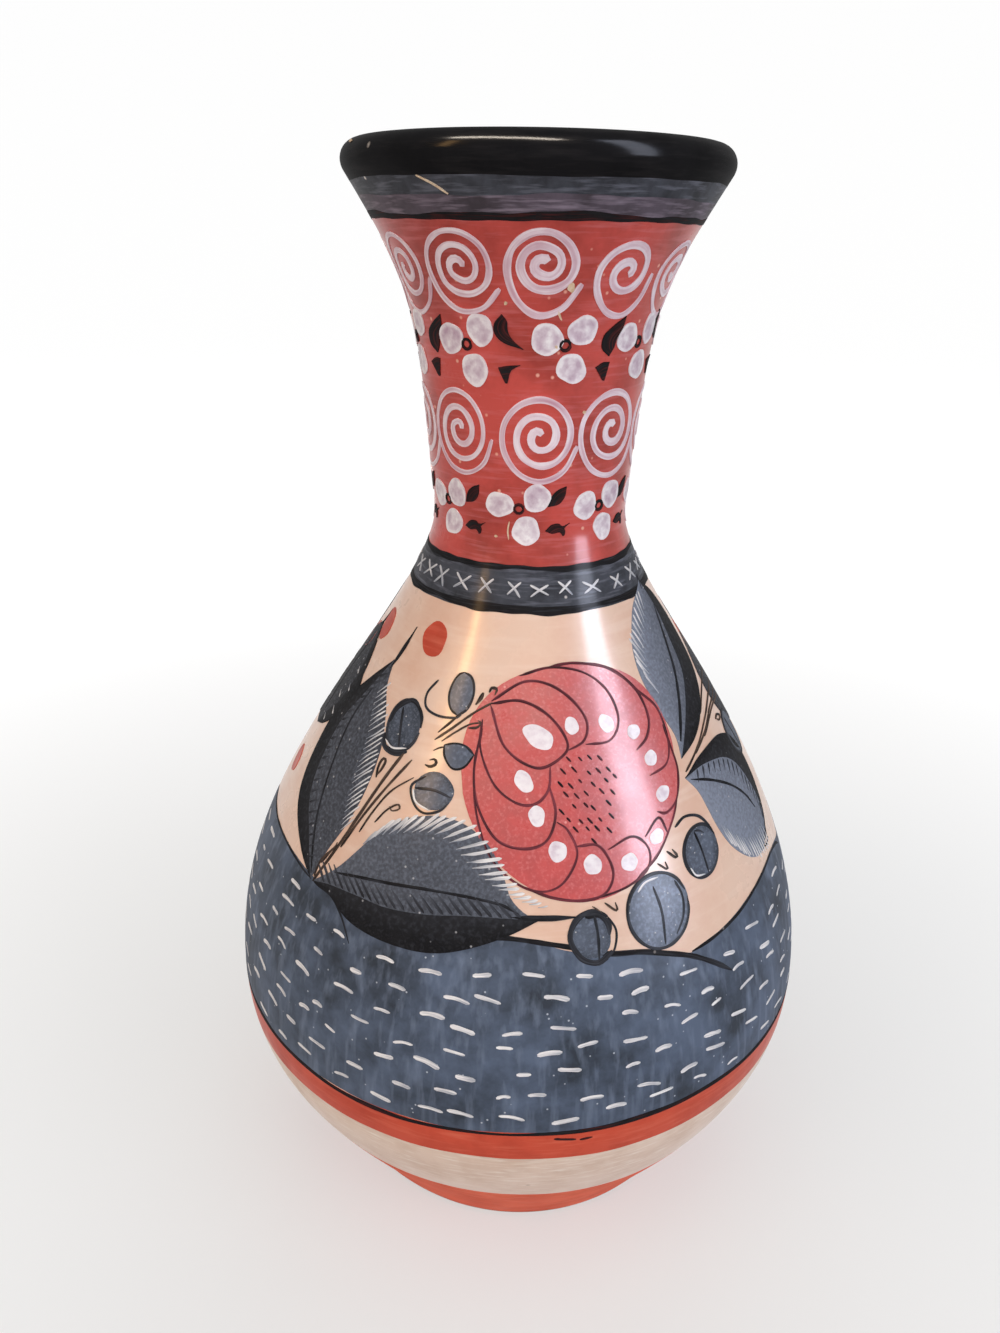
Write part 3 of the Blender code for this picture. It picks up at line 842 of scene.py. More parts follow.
hillLines = {  # outlines of the hills, (spot, points, mm)
    "low": (lowSpot, ((-52, -11.4), (-42, -11.6), (-29.5, -14), (-20, -17), (-11, -18.5), (-3.5, -21),
                      (4, -24.2), (11, -28.6), (18, -34)), 1.3),
    "right": (lowSpot, ((4.5, -23.2), (11.5, -22.6), (19, -21.6), (26.5, -20.3), (36, -18.4), (50, -17),
                        (60, -19), (66, -22)), 0.9),
    "left": (leftSpot, ((-44, -35.6), (-28, -35.1), (-12, -35.3), (4, -37.2)), 0.7),
    "fold": (leafSpot, ((-37, -10.4), (-29.2, -10.9), (-24, -14.5), (-20.1, -20)), 0.7),
}
outlines = newCoat()
for turned in sprays:
    for spot, points, width in hillLines.values():
        brushLine(outlines, turnSpot(spot, turned), points, width, lifts["hillLine"], tips=(6, 9),
                  load=(1.0, 0.75))
finishCoat("hill_lines", outlines, greyInk, "black_slip")

hillDashes = {"firstMm": 4.4, "rowMm": 6.4, "apartMm": 13.0, "longMm": (3.6, 7.2), "strokeMm": 1.06,
              "margin": 4.5, "strayShare": 0.22, "strayMm": 1.6}
dashes = newCoat()
level, row = hills["foot"] + hillDashes["firstMm"], 0
while level < max(skyline[:, 1]):
    count = round(2 * math.pi * float(radiusAt(level)) / hillDashes["apartMm"])
    for i in range(count):
        degrees = (i + 0.5 * (row % 2) + stray(hillDashes["strayShare"])) * 360 / count
        path = level + stray(hillDashes["strayMm"])
        top = float(np.interp((degrees + 90) % 180 - 90, skyline[:, 0], skyline[:, 1]))
        length = hand.uniform(*hillDashes["longMm"])
        slope, arch = hand.uniform(-0.14, 0.08), hand.uniform(-0.1, 0.5)
        width = hillDashes["strokeMm"] * hand.uniform(0.75, 1.2)
        if path < top - hillDashes["margin"]:
            points = [(-length / 2, -slope * length), (0, arch), (length / 2, slope * length)]
            brushLine(dashes, (degrees, path), points, width, lifts["dash"], tips=(0.8, 1.2), load=(1.0, 0.6))
    level, row = level + hillDashes["rowMm"], row + 1
finishCoat("hill_dashes", dashes, whiteOnGrey, "slip_bowl")
print("hills painted")

flower = {  # flat mm round the spot; dabs as u, v, width, height, tilt
    "spot": (12.6, 167), "size": (60.8, 60.2), "line": 0.68,
    "petals": (
        ((-20.9, 19.5), (-13, 20.8), (-6.4, 17.3), (-2.3, 11), (-3.1, 7), (-10.3, 3.7), (-18.1, 8.7),
         (-20.9, 19.3)),
        ((-20.6, 20.2), (-12, 25.6), (-5.5, 25.2), (0.2, 20.9), (3.6, 15), (2.4, 10.1), (-2.3, 7.8)),
        ((-12.6, 27.3), (-4.5, 29.5), (4, 27.7), (10.2, 22), (12.6, 14.2), (9.6, 9.2), (2.7, 9.0)),
        ((-5, 29.6), (2, 30.3), (11.3, 27.7), (19, 20.6), (22.2, 12.6), (20.8, 7.6), (17, 5.0)),
        ((16, 24), (19.7, 20), (25.8, 13.7), (28.2, 5), (26.6, -0.8), (20.2, -2.4)),
        ((27, 9), (28.6, 3.7), (30.3, -4), (28.5, -10.5), (24.5, -13), (21.3, -11.9)),
        ((-23.4, 15.3), (-24.6, 8), (-22, -0.5), (-17, -4.9), (-12, -5.4), (-8.1, -1.9), (-7, 4.2)),
        ((-23.6, 13), (-26.6, 3), (-26.6, -6), (-22.6, -14.1), (-16, -16.4), (-9.8, -14.6), (-6.8, -8),
         (-7.8, -0.5)),
        ((-26.8, 2), (-27, -8), (-24.5, -18), (-19.2, -24.1), (-12.6, -26.9), (-6.5, -25.2), (-2.2, -18.5),
         (-4.0, -12.3), (-6.7, -9.9)),
        ((-16.5, -25.6), (-9, -28.6), (-1, -29.9), (4.7, -28.6), (6.9, -23.6), (3.6, -16.9), (-2.6, -16.3)),
        ((2, -29.8), (11, -28.2), (17.0, -25), (17.4, -20), (13, -16.2), (6.0, -18.2)),
        ((13, -27.4), (20.5, -22.3), (26.2, -15.2), (28.6, -10.5)),
        ((24, -18), (21.5, -13.5), (16.8, -17.2)),
    ),
    "dabs": ((-9.3, 11.6, 8.0, 5.8, -30), (-0.5, 14.1, 3.6, 4.6, 0), (8.9, 13.6, 3.6, 5.6, 32),
             (16.7, 9.9, 4.0, 3.8, 0), (21.2, 1.9, 3.9, 4.2, 10), (23.8, -7.9, 4.3, 4.2, 0),
             (-14.1, 0.3, 4.6, 5.6, 18), (-11.6, -8.3, 4.2, 5.2, 8), (-7.1, -17.2, 4.9, 5.0, 0),
             (1.6, -21.3, 4.8, 5.0, 0), (11.6, -22.4, 4.4, 4.8, 20), (20.4, -18.0, 4.2, 4.0, 0)),
    "seedMiddle": (2.2, -3.8), "seedReach": (8.2, 11.8), "seedApart": 3.0, "seedLong": 2.0,
    "seedRows": 4, "seedStray": 0.7, "seedFall": (0.62, -0.78), "seedStroke": 0.55,
}
flowerHeads, petalLines, petalDabs = newCoat(), newCoat(), newCoat()
apart, reach = flower["seedApart"], flower["seedReach"]
seedRows = range(-flower["seedRows"], flower["seedRows"] + 1)
for turned in sprays:
    spot = turnSpot(flower["spot"], turned)
    dab(flowerHeads, spot, (-0.1, 0), flower["size"], lifts["leaf"], uneven=0.006, load=(1.0, 0.85), cell=1.9)
    for petal in flower["petals"]:
        width = flower["line"] * hand.uniform(0.85, 1.15)
        brushLine(petalLines, spot, petal, width, lifts["line"], tips=(4, 4), load=(0.68, 0.4))
    for u, v, wide, tall, tilt in flower["dabs"]:
        dab(petalDabs, spot, (u, v), (wide, tall), lifts["white"], tilt, load=(1.0, 1.2), cell=0.8)
    for i in seedRows:
        for j in seedRows:
            u = (i + 0.5 * (j % 2)) * apart + stray(flower["seedStray"])
            v = j * apart + stray(flower["seedStray"])
            if (u / reach[0]) ** 2 + (v / reach[1]) ** 2 < 1:
                middle = np.array(flower["seedMiddle"]) + (u, v)
                fall = np.array(flower["seedFall"]) * flower["seedLong"] / 2 * hand.uniform(0.6, 1.1)
                brushLine(petalLines, spot, [middle - fall, middle, middle + fall], flower["seedStroke"],
                          lifts["line"], tips=(0.4, 0.9))
# The flower's red is the neck's slip over cream, so a little lighter and pinker
flowerRed = slipFinish(
    "burnished red slip over cream", tones=("#C54C4A", "#B03D3D", "#DE8282"), cloudMm=7, streakMm=0.9,
    streakWay="blot", streak=0.45, fleck=("#D98782", 2.6, 0.2), roughness=(0.26, 0.42), sheen=0.3,
    coat=0.3, coatRoughness=0.16, bumpMm=0.04)
finishCoat("flower_heads", flowerHeads, flowerRed, "peach_slip")
finishCoat("petal_lines", petalLines, petalInk, "black_slip")
finishCoat("petal_dabs", petalDabs, whiteDabs, "peach_slip")
print("flowers painted")

# flat mm round each spot, from the stalk to the tip; wash: the load of paint at the two edges; hatch: how
# many lines and their reach; barb: the reaches along the fringe and how many
leaves = {
    "left": {
        "spot": leftSpot, "wash": (0.76, 0.8),
        "edge": ((4.3, -37.4), (-5.1, -32.1), (-17.9, -22.1), (-21.8, -9.3), (-20.1, 4), (-10.1, 17.3),
                 (-2.9, 25.7)),
        "other": ((4.3, -37.4), (6.4, -28), (9.4, -18), (10.2, -8), (8.6, 3), (4.2, 12), (-0.8, 19),
                  (-2.9, 25.7)),
        "shade": ((4.3, -37.4), (-3, -28), (-11, -19), (-14, -9), (-13.5, 3), (-8.5, 13.5), (-2.9, 25.7)),
        "shadeFrom": "edge", "midrib": ((3.8, -36), (-2.9, -22.7), (-6.8, -8.8), (-8.6, 5.1), (-6.0, 16)),
        "tip": ((-2.9, 23), (-1.6, 29), (-0.4, 36.5)), "hatch": (20, (3.4, 2.4)),
        "fringe": ((8.2, -21), (6.4, -15), (4.8, -9), (3.6, -3), (2.2, 3), (0.2, 8), (-1.9, 12.4),
                   (-2.8, 15.6)),
        "barb": (((2.6, 4.2), (4.6, 5.8), (4.8, 5.6), (3.0, 4.0)), 25), "barbMm": 0.42},
    "low": {
        "spot": leafSpot, "wash": (0.62, 0.8),
        "edge": ((-37.5, -10.3), (-28.4, -2.9), (-17.8, 9.4), (-10, 15.6), (-1.9, 18.2), (6, 17.4),
                 (13.4, 12.8), (18.5, 5.5), (21.4, 0.2), (26, -3.6), (29.9, -4.7)),
        "other": ((-37.5, -10.3), (-31, -10.3), (-21.3, -14.5), (-7.8, -15.9), (5.8, -15), (19.9, -10),
                  (29.9, -4.7)),
        "shade": ((-37.5, -10.3), (-30, -8.3), (-20, -7.4), (-10.7, -7.4), (1.1, -6.2), (12.8, -4.7),
                  (29.9, -4.7)),
        "shadeFrom": "other",
        "midrib": ((-29.5, -4.7), (-20.1, -2.6), (-10.7, -1.2), (-0.1, -0.1), (9.9, -0.1), (18.7, -1.2),
                   (24, -3.4)),
        "tip": ((22, -4.2), (29.9, -4.5), (40.5, -4.8)), "hatch": (24, (-4.8, 4.2)),
        "fringe": ((-21.5, 5.6), (-17.5, 9.0), (-11.5, 11.5), (-5.7, 13.3), (-1.7, 13.7), (3, 12.4), (7, 9.6),
                   (11.3, 6.2), (17.5, 2.5), (22.5, 0.2), (28.5, -1.8)),
        "barb": (((3.8, 4.6), (5.2, 6.4), (7.0, 4.8), (8.4, 1.8), (5.4, 0.5), (2.6, 0.4)), 26),
        "barbMm": 0.85},
    "rightUpper": {
        "spot": rightSpot, "wash": (0.1, 0.85),
        "edge": ((-7.6, -6.6), (-6.3, -0.4), (-8.2, 8), (-9.2, 18), (-7.6, 26), (-4.2, 32), (0, 37),
                 (8, 41.5)),
        "other": ((-7.6, -6.6), (1.3, -3.8), (9.7, 0.7), (17.4, 7), (21.5, 15), (21, 26), (16, 35),
                  (8, 41.5)),
        "shade": ((-7.6, -6.6), (-1, 0.5), (5, 7), (10.2, 14), (11.6, 23), (12, 32), (8, 41.5)),
        "shadeFrom": "other", "midrib": ((-5.3, -2.4), (1.3, 7.4), (5.6, 15), (8.3, 22.9), (11.5, 33)),
        "midribMm": 1.2, "tip": ((7.5, 39), (8, 41.5), (8.2, 43)),
        "fringe": ((-5.6, 12), (-6.0, 17), (-5.2, 21.6), (-3.4, 25), (-1.2, 28.2), (1.2, 31), (3.8, 34)),
        "barb": (((-1.8, 5.4), (-2.2, 6.4), (-1.8, 6.4), (-0.6, 6.4), (0.8, 5.4)), 14), "barbMm": 0.5},
    "rightLower": {
        "spot": rightSpot, "wash": (0.4, 0.0),
        "edge": ((-9.2, -11.8), (-0.9, -8.8), (9.1, -7.9), (16.3, -9.1), (23.6, -13.2), (28.6, -20),
                 (30, -30), (26, -40), (16, -45.2)),
        "other": ((-9.2, -11.8), (-6.4, -16.6), (-5.3, -22), (-4.0, -28.5), (-0.9, -35.4), (4.5, -41),
                  (10, -44.2), (16, -45.2)),
        "shade": ((-9.2, -11.8), (-2, -11.2), (5, -12.2), (12, -14.5), (18, -19), (22, -25), (25.6, -33),
                  (25, -40), (16, -45.2)),
        "shadeFrom": "edge", "midrib": ((-7.5, -12.8), (0, -16), (9, -21.5), (16, -28), (20, -34)),
        "tip": ((17, -45), (20, -45.6), (23, -45)), "hatch": (18, (-1.6, -3.6)),
        "fringe": ((-2.6, -28), (1.4, -32.6), (6.4, -36.6), (13, -39), (20, -39.4)),
        "barb": (((2.0, -6.6), (2.2, -7.0)), 18), "barbMm": 0.45},
    "far": {
        "spot": (-86, 172), "wash": (1.0, 0.9),
        "edge": ((3, -14.6), (-9, -14), (-17, -6), (-17, 4), (-10, 14), (2.4, 23.5)),
        "other": ((3, -14.6), (10.6, -10.7), (17, -3), (17.2, 5.9), (14.7, 9), (12.4, 13.4), (8.6, 18),
                  (2.4, 23.5)),
        "shade": ((3, -14.6), (7, -8), (11, -2), (11.5, 6), (9.5, 12), (6.5, 17), (2.4, 23.5)),
        "shadeFrom": "other", "midrib": ((2, -10), (0, 0), (0.5, 10), (2, 18)),
        "tip": ((2.0, 22), (3.0, 25), (3.6, 28)),
        "fringe": ((8.6, 9.4), (10.6, 4.2), (6.4, -1.0), (9.8, -4.6), (6.2, -9.4)),
        "barb": (((2.4, -1.6), (2.8, -1.2)), 5), "barbMm": 0.8},
}
leafStrokes = {"midribMm": 0.75, "tipMm": 1.3, "hatchMm": 0.75, "hatchInset": 0.05}
leafWashes, leafShades, leafLines, leafFringes = newCoat(), newCoat(), newCoat(), newCoat()


def pointsOn(line, count):
    curve = smoothLine(line, 0.5)
    return curve[np.linspace(0, len(curve) - 1, count).round().astype(int)]


for turned in sprays:
    for leaf in leaves.values():
        spot = turnSpot(leaf["spot"], turned)
        washPatch(leafWashes, spot, leaf["edge"], leaf["other"], lifts["leaf"], leaf["wash"])
        washPatch(leafShades, spot, leaf[leaf["shadeFrom"]], leaf["shade"], lifts["shade"], load=(1.0, 0.78))
        brushLine(leafLines, spot, leaf["midrib"], leaf.get("midribMm", leafStrokes["midribMm"]),
                  lifts["line"], tips=(9, 8), load=(1.0, 0.7))
        brushLine(leafLines, spot, leaf["tip"], leafStrokes["tipMm"], lifts["line"], tips=(5, 9),
                  load=(1.0, 0.8), blunt=0.1)
        if "hatch" in leaf:
            count, reach = leaf["hatch"]
            for rib, rim in zip(pointsOn(leaf["midrib"], count), pointsOn(leaf["shade"], count + 4)[2:]):
                end = rim + (rib - rim) * leafStrokes["hatchInset"]
                start = end + np.array(reach) * hand.uniform(0.8, 1.1)
                brushLine(leafLines, spot, [start, (start + end) / 2, end], leafStrokes["hatchMm"],
                          lifts["line"], tips=(3.0, 0.6), load=(0.1, 0.7), blunt=0.1)
        reaches, count = leaf["barb"]
        marks = np.linspace(0, count - 1, len(reaches))
        for number, start in enumerate(pointsOn(leaf["fringe"], count)):
            reach = np.array([np.interp(number, marks, column) for column in zip(*reaches)])
            end = start + reach * hand.uniform(0.9, 1.12)
            bow = np.array([-reach[1], reach[0]]) * hand.uniform(-0.04, 0.05)
            brushLine(leafFringes, spot, [start, (start + end) / 2 + bow, end], leaf["barbMm"],
                      lifts["white"], tips=(4.5, 0.6), load=(0.2, 1.05), blunt=0.12)
# Leaf slip: black thinned with the blue-grey, so each leaf runs from soot to slate
leafSlip = slipFinish(
    "black slip thinned with blue-grey", tones=("#2E2E32", "#252528", "#55575F"), under="#878D9C",
    dry=0.2, cloudMm=8, streakMm=0.9, streakWay="blot", fleck=("#A9A8AC", 2.2, 0.36), bumpMm=0.04)
finishCoat("leaf_washes", leafWashes, leafSlip, "peach_slip")
# A second, full coat on one side of each leaf: even black with grains of dust in it
shadeSlip = slipFinish("full black slip on the leaves", **dict(
    inkLine, under="#4E4F56", dry=0.2, streak=0.4, tones=("#1C1B1D", "#131214", "#3B3A3D"),
    streakWay="blot", streakMm=1.2, fleck=("#9C9A9C", 2.2, 0.3)))
finishCoat("leaf_shades", leafShades, shadeSlip, "black_slip")
finishCoat("leaf_lines", leafLines, greyInk, "black_slip")
print("leaves painted")

buds = {  # spot, centre, size, tilt, vein, whether a ring goes round, load
    "dark": (budSpot, (-15.6, 4.2), (10.8, 13.6), -14, ((-17.2, 8.6), (-16.4, 3.4), (-15.4, -1.6)), True,
             0.95),
    "lower": (budSpot, (-2.1, -9.9), (11.4, 9.6), -4, ((-7.4, -10.2), (-2, -9.6), (3, -10.6)), False, 0.8),
    "rightHigh": (lowSpot, (14, 0.6), (13.2, 13.6), 0, ((12.6, 6.2), (14, 1), (15, -5.6)), True, 0.75),
    "rightMiddle": (lowSpot, (-3.5, -9.6), (18.6, 19.4), 0, ((-4.2, -3), (-3.0, -10), (-3.5, -18.6)), True,
                    0.3),
    "rightLow": (lowSpot, (-23.6, -11.9), (10.6, 11.8), 0, ((-21.6, -6.6), (-21.6, -12), (-22.4, -18.2)),
                 False, 0.7),
    "farRight": ((78, 158), (0, 0), (13.0, 14.0), 10, ((-1, 5.4), (0, 0), (1, -5.4)), True, 0.8),
}
budRing = {"arc": (0.3, 6.4), "points": 15}
budStrokes = {"vein": 0.75, "ring": 0.9, "edge": 0.6, "glint": 0.5}  # mm
budLines = {  # loops and crescents beside the buds: spot, then (points, mm)
    budSpot: {
        "darkCap": (((-21.0, 3.4), (-19.0, 8.0), (-14.6, 11.2), (-11.4, 9.2)), 1.3),
        "darkCrescent": (((-21.2, 0.6), (-20.4, -2.6), (-16.4, -3.4), (-12.5, -2.0)), 1.5),
        "topArc": (((-8.4, 18.3), (-10.8, 14.2), (-10.1, 10.6), (-6, 9.2), (-1, 9.6), (0.4, 10.6)), 0.6),
        "lowerRing": (((-5.0, -6.6), (-8.6, -9.9), (-6.8, -14), (-3.3, -15.8), (0.8, -14.4),
                       (2.8, -12)), 0.6),
    },
    lowSpot: {
        "highHook": (((6.5, 9.5), (10.5, 11), (15.5, 9.5), (19.3, 5.5)), 0.7),
        "highTick": (((12.6, 6.4), (14.6, 5.8), (16.2, 4.6)), 0.6),
        "lowRing": (((-18.2, -7.6), (-22, -5.8), (-26.4, -7.6), (-28.8, -12), (-27.2, -16.6), (-23.6, -18.8),
                     (-20, -18.2)), 1.4),
        "lowOpen": (((-18.2, -7.6), (-16.6, -11.6), (-17.8, -16), (-20, -18.2)), 0.5),
        "lowHook": (((-24, -7.0), (-20.4, -7.0), (-18.4, -9.6), (-18.6, -12.4)), 1.5),
        "lowBase": (((-28.4, -15.4), (-26, -18), (-22.4, -18.8), (-18.6, -16.4)), 1.3),
        "middleSide": (((2.6, -3.4), (4.2, -8), (3.4, -13), (0.4, -17)), 0.8),
    },
}
stems = {  # spot, then (points, mm)
    leftSpot: {
        "main": (((5.4, -37.4), (8.4, -29), (10.4, -22), (12.1, -14.3), (14.3, -3.2), (16.2, 4.6)), 0.82),
        "second": (((10.6, -25), (13.2, -15), (16, -6), (18.6, 1.2), (19.4, 3.4)), 0.66),
        "third": (((14.4, -19), (15.6, -13), (18, -6), (22.4, -0.8)), 0.49),
        "loop": (((17.7, -15), (19.4, -11), (21.8, -8.6), (22.8, -9.6), (21, -10.6), (19.8, -9.8)), 0.49),
        "pod": (((5.2, -36), (5.6, -31), (8.6, -26), (8.8, -24.4)), 0.57),
        "podLine": (((6.0, -31.6), (7.2, -28.6), (8.2, -26.4)), 0.74),
        "tear": (((11.6, -4.2), (10.6, -1.4), (10.8, 1.0), (12.0, 0.8), (12.0, -1.6), (11.4, -3.6)), 0.66),
    },
    budSpot: {
        "fanTop": (((7.9, 14.9), (3.4, 11.4), (-1.4, 6.6), (-5.2, 3.0)), 0.57),
        "fanBud": (((0, 10.8), (-2.2, 8), (-4.8, 5)), 0.57),
        "fanLow": (((6.4, 9.4), (3.4, 8.6), (0, 6), (-3.2, 3)), 0.49),
        "fanLoop": (((3.2, 7.6), (5.4, 8), (6.2, 9.4), (5.2, 9.8)), 0.66),
        "smallBudStem": (((-1.8, 1.8), (-3.4, 1.2), (-4.8, 0.2)), 0.49),
        "hookLoop": (((-6.2, -3.8), (-4.6, -4), (-3.2, -3), (-3.8, -1.9), (-5.2, -2.4)), 0.74),
        "seedOne": (((4.9, 17.2), (4.5, 15.6), (3.6, 13.8)), 1.1),
        "seedTwo": (((6.4, 17.4), (6.8, 18.6), (8.2, 18.4), (8.0, 16.8)), 0.82),
    },
    lowSpot: {
        "tickOne": (((-18.2, -4.2), (-16, -6.4), (-15.2, -6.4), (-15.4, -4.6)), 0.57),
        "tickTwo": (((-1.4, 2.2), (0.8, 0.2), (1.4, 0.2), (1.0, 2.0)), 0.57),
        "tickThree": (((2.2, 4.4), (4.4, 2.2), (5.2, 2.4), (4.0, 4.4)), 0.66),
        "tickFour": (((-21.6, -4.6), (-20.2, -5.8), (-19.4, -6.6)), 0.49),
    },
    rightSpot: {
        "rightOne": (((-8.1, -10.4), (1.3, -6), (10.2, -1.9), (20.8, 0.9), (34, 0.6)), 0.53),
        "rightTwo": (((-1.5, -7.6), (8, -4.2), (18, -1.2), (34, -2.0)), 0.49),
        "rightThree": (((6, -5.4), (14, -2.8), (22, -2.2), (34, -4.4)), 0.49),
        "rightTear": (((17.6, -5.2), (20.4, -5), (22.8, -6.4), (20.6, -6.8), (18.6, -5.6)), 0.57),
        "rightTop": (((9, 0.2), (16, 3.6), (24, 5.2), (34, 4.4)), 0.49),
    },
}
leafBuds = {  # buds with two drawn edges, (spot, edges)
    "almond": (budSpot, ((-0.6, 10.3), (-2.9, 11.8), (-4.2, 15.0), (-3.9, 18.4), (-2.8, 20.8), (-1.4, 21.7)),
               ((-0.6, 10.3), (1.5, 12.2), (2.4, 15.6), (1.9, 18.8), (0.6, 20.9), (-1.4, 21.7))),
    "small": (budSpot, ((-2.2, 2.2), (0.6, 3.1), (3.6, 2.9), (6.4, 1.0)),
              ((-2.2, 2.2), (-1.2, -0.8), (1.6, -3.3), (4.6, -2.4), (6.4, 1.0))),
}
budGlints = {  # white left between a bud and its outline, (spot, points)
    "dark": (budSpot, ((-20.4, -1.0), (-17.4, -2.3), (-12.8, -1.2))),
    "lower": (budSpot, ((-7.9, -10.6), (-6.2, -13.6), (-1.8, -14.9))),
    "rightMiddle": (lowSpot, ((-8.8, -3.4), (-6.2, -1.5), (-2.2, -1.1))),
    "rightHigh": (lowSpot, ((8.7, -2.2), (10.2, -4.7), (13.4, -5.5))),
}
redDots = (  # spot, centre, size
    (budSpot, (-13, 28.3), (8.4, 9.3)), (leftSpot, (-17.2, 31.5), (7.6, 9.4)),
    ((-70, 140), (-13.6, 5), (7.6, 8.0)), ((100, 165), (-6, 24), (8.0, 9.0)),
)
around = np.linspace(*budRing["arc"], budRing["points"])
budWashes, budInk, stemInk, dots = newCoat(), newCoat(), newCoat(), newCoat()
for turned in sprays:
    for home, centre, size, tilt, vein, ringed, load in buds.values():
        spot = turnSpot(home, turned)
        dab(budWashes, spot, centre, size, lifts["bud"], tilt, uneven=0.03, load=(load, load + 0.2), cell=1.4)
        brushLine(budInk, spot, vein, budStrokes["vein"], lifts["line"], tips=(2, 3), load=(0.85, 0.5))
        if ringed:
            lean = math.radians(tilt)
            ring = np.stack([np.cos(around) * size[0] / 2, np.sin(around) * size[1] / 2], -1)
            ring = ring @ np.array([[math.cos(lean), math.sin(lean)], [-math.sin(lean), math.cos(lean)]])
            brushLine(budInk, spot, ring + centre, budStrokes["ring"], lifts["line"], tips=(5, 5),
                      load=(0.8, 0.45))
    for home, *edges in leafBuds.values():
        spot = turnSpot(home, turned)
        washPatch(budWashes, spot, *edges, lifts["bud"], load=(0.75, 0.65), cell=1.2)
        for edge in edges:
            brushLine(budInk, spot, edge, budStrokes["edge"], lifts["line"], tips=(2, 2), load=(0.9, 0.7))
    for home, points in budGlints.values():
        brushLine(leafFringes, turnSpot(home, turned), points, budStrokes["glint"], lifts["white"],
                  tips=(1.5, 2.5), load=(0.9, 0.6))
    for coat, marks in ((budInk, budLines), (stemInk, stems)):
        for home, lines in marks.items():
            for points, width in lines.values():
                brushLine(coat, turnSpot(home, turned), points, width, lifts["line"], tips=(2, 4),
                          load=(0.78, 0.45))
    for home, centre, size in redDots:
        dab(dots, turnSpot(home, turned), centre, size, lifts["leaf"], tilt=stray(20), load=(0.9, 1.0))
# Slate dabs: the black and blue-grey slips mixed on the brush, mottled and dusty
budSlip = slipFinish(
    "slate slip dabs", tones=("#4C525E", "#3B3F48", "#788090"), under="#838CA0", dry=0.34, cloudMm=6,
    streakMm=1.0, streakWay="blot", streak=0.6, fleck=("#BDBBBB", 1.5, 0.45), coat=0.2, bumpMm=0.04)
finishCoat("leaf_fringes", leafFringes, whiteOnGrey, "peach_slip")
finishCoat("bud_washes", budWashes, budSlip, "peach_slip")
finishCoat("bud_lines", budInk, greyInk, "black_slip")
finishCoat("stem_lines", stemInk, creamInk, "black_slip")
finishCoat("red_dots", dots, orangeSlip, "peach_slip")
print("buds and stems painted")

studio = {  # metres; white is how far the paper is lit up to white
    "floorRings": (0.001, 0.3, 1.0), "floorRadius": 2.2, "wallRadius": 3.2, "wallTop": 1.0, "below": 0.0002,
    "colour": "#D6D5D3", "farColour": "#4A4A4A", "nearWhite": 0.5, "farWhite": 0.96, "whiteFrom": 0.1,
    "whiteTo": 0.5, "daylight": 0.28,
}


def seenRays(tree):  # 1 where the eye or a gloss looks, 0 for light on the vase
    rays = addNode(tree, "LightPath", {}, {}).outputs
    seen = rays["Is Camera Ray"]
    for ray in ("Is Glossy Ray", "Is Transmission Ray"):
        seen = addNode(tree, "Math", {"operation": "MAXIMUM"}, {0: seen, 1: rays[ray]}).outputs[0]
    return seen


def studioCove():  # paper that runs up into a low wall, white further out
    rise = np.linspace(0, 1, 9)
    profile = [(radius, 0.0) for radius in studio["floorRings"]] + [
        (studio["floorRadius"] + (studio["wallRadius"] - studio["floorRadius"]) * math.sin(math.pi / 2 * t),
         studio["wallTop"] * (1 - math.cos(math.pi / 2 * t))) for t in rise]
    spokes = [direction(degrees) for degrees in range(0, 360, 5)]
    points = [(x * radius, y * radius, height - studio["below"])
              for radius, height in profile for x, y in spokes]
    n = len(spokes)
    faces = [(i * n + j, i * n + (j + 1) % n, (i + 1) * n + (j + 1) % n, (i + 1) * n + j)
             for i in range(len(profile) - 1) for j in range(n)]
    mesh = bpy.data.meshes.new("studio_cove")
    mesh.from_pydata(points, [], [tuple(reversed(face)) for face in faces] + [tuple(range(n))])
    mesh.polygons.foreach_set("use_smooth", [True] * len(mesh.polygons))
    cove = bpy.data.objects.new("studio_cove", mesh)
    bpy.context.scene.collection.objects.link(cove)
    # Paper off the roll, hung in a curve: no gloss and no edge, an even pale ground
    paper = bpy.data.materials.new("matt studio paper")
    paper.use_nodes = True
    tree = paper.node_tree
    shader = tree.nodes["Principled BSDF"]
    shader.inputs["Roughness"].default_value = 0.95
    shader.inputs["Specular IOR Level"].default_value = 0.1
    shader.inputs["Emission Color"].default_value = toLinear("#FFFFFF")
    spot = addNode(tree, "TexCoord", {}, {}).outputs["Object"]
    away = addNode(tree, "VectorMath", {"operation": "LENGTH"}, {0: spot}).outputs["Value"]
    white = addNode(tree, "MapRange", {
        "From Min": studio["whiteFrom"], "From Max": studio["whiteTo"], "To Min": studio["nearWhite"],
        "To Max": studio["farWhite"]}, {"Value": away}).outputs[0]
    glow = addNode(tree, "Math", {"operation": "MULTIPLY"}, {0: white, 1: seenRays(tree)}).outputs[0]
    fade = addNode(tree, "Mix", {"data_type": "RGBA", 6: toLinear(studio["colour"]),
                                 7: toLinear(studio["farColour"])}, {0: white}).outputs[2]
    tree.links.new(fade, shader.inputs["Base Color"])
    tree.links.new(glow, shader.inputs["Emission Strength"])
    mesh.materials.append(paper)


studioCove()
world = bpy.data.worlds.new("soft studio")
bpy.context.scene.world = world
world.use_nodes = True
sky = addNode(world.node_tree, "MapRange", {"To Min": studio["daylight"], "To Max": 1.0},
              {"Value": seenRays(world.node_tree)}).outputs[0]
world.node_tree.links.new(sky, world.node_tree.nodes["Background"].inputs["Strength"])
world.node_tree.nodes["Background"].inputs["Color"].default_value = toLinear("#FFFFFF")

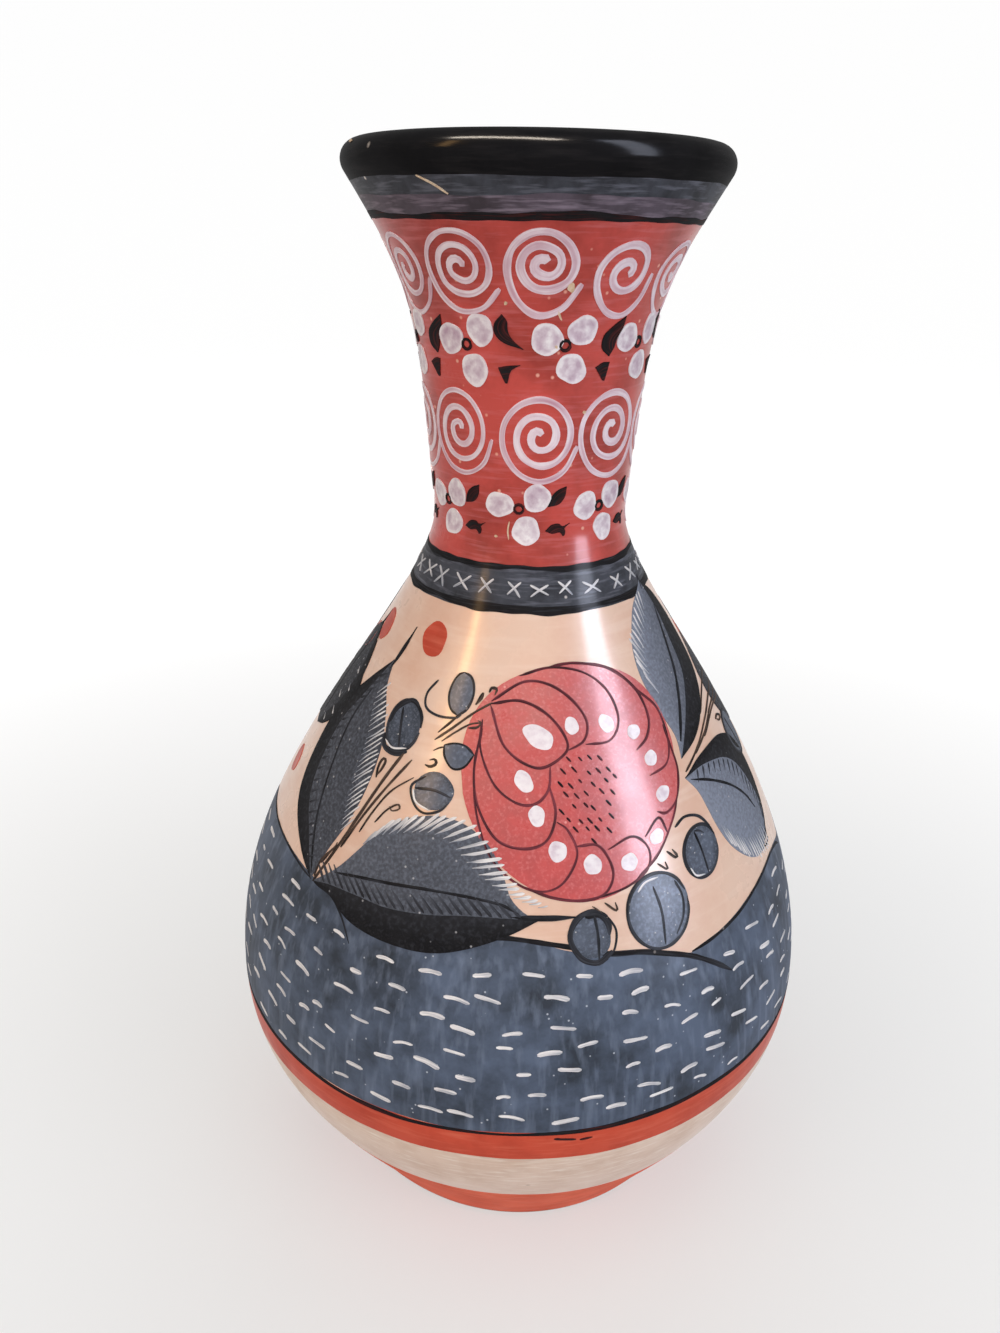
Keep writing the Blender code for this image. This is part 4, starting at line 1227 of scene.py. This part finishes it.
# degrees round from the front and up, metres away, size, watts, colour, and whether it makes gloss or lights
# the body
lamps = {
    "window_right": (57, 30, 1.2, (0.34, 1.3), 34.0, "#E2EAFF", "gloss"),
    "lamp_left": (-52, 36, 1.2, (0.11, 0.5), 5.0, "#FFC880", "gloss"),
    "strip_high": (-24, 64, 1.2, (0.9, 0.16), 70.0, "#FFF1E0", "gloss"),
    "soft_right": (55, 14, 1.4, (0.9, 1.1), 9.4, "#EFF4FF", "body"),
    "soft_left": (-62, 14, 1.5, (1.0, 1.2), 8.4, "#FFEDDA", "body"),
    "soft_front": (0, 4, 1.6, (1.2, 0.5), 9.8, "#FFFFFF", "body"),
    "top": (-10, 78, 1.6, (1.4, 1.4), 5.4, "#FFFFFF", "body"),
    "soft_back": (172, 28, 1.6, (1.2, 1.0), 6.0, "#FFFFFF", "body"),
}
lampAim = np.array([0, 0, 0.14])  # metres, at the middle of the vase
for name, (bearing, up, away, size, watts, colour, purpose) in lamps.items():
    light = bpy.data.lights.new(name, "AREA")
    light.shape = "RECTANGLE"
    light.size, light.size_y = size
    light.energy = watts
    light.color = toLinear(colour)[:3]
    shine = bpy.data.objects.new(name, light)
    turn, rise = math.radians(bearing), math.radians(up)
    outward = np.array([math.sin(turn) * math.cos(rise), -math.cos(turn) * math.cos(rise), math.sin(rise)])
    facing = Matrix.Rotation(turn, 4, "Z") @ Matrix.Rotation(math.pi / 2 - rise, 4, "X")
    shine.matrix_world = Matrix.Translation(lampAim + outward * away) @ facing
    shine.visible_glossy = purpose == "gloss"
    shine.visible_diffuse = purpose == "body"
    bpy.context.scene.collection.objects.link(shine)

photoView = {  # mm and degrees; clip in metres
    "place": (-6.2, -277.5, 280.5), "down": 23.55, "roll": 0.34, "focalPixels": 1001, "tallPixels": 1333,
    "clip": (0.01, 20),
}
camera = bpy.data.cameras.new("photo_view")
camera.lens = camera.sensor_width * photoView["focalPixels"] / photoView["tallPixels"]
camera.clip_start, camera.clip_end = photoView["clip"]
viewpoint = bpy.data.objects.new("photo_view", camera)
viewpoint.matrix_world = (Matrix.Translation([c * mm for c in photoView["place"]])
                          @ Matrix.Rotation(math.radians(90 - photoView["down"]), 4, "X")
                          @ Matrix.Rotation(math.radians(photoView["roll"]), 4, "Z"))
bpy.context.scene.collection.objects.link(viewpoint)
bpy.context.scene.camera = viewpoint
bpy.context.scene.view_settings.view_transform = "Standard"
print("studio ready")
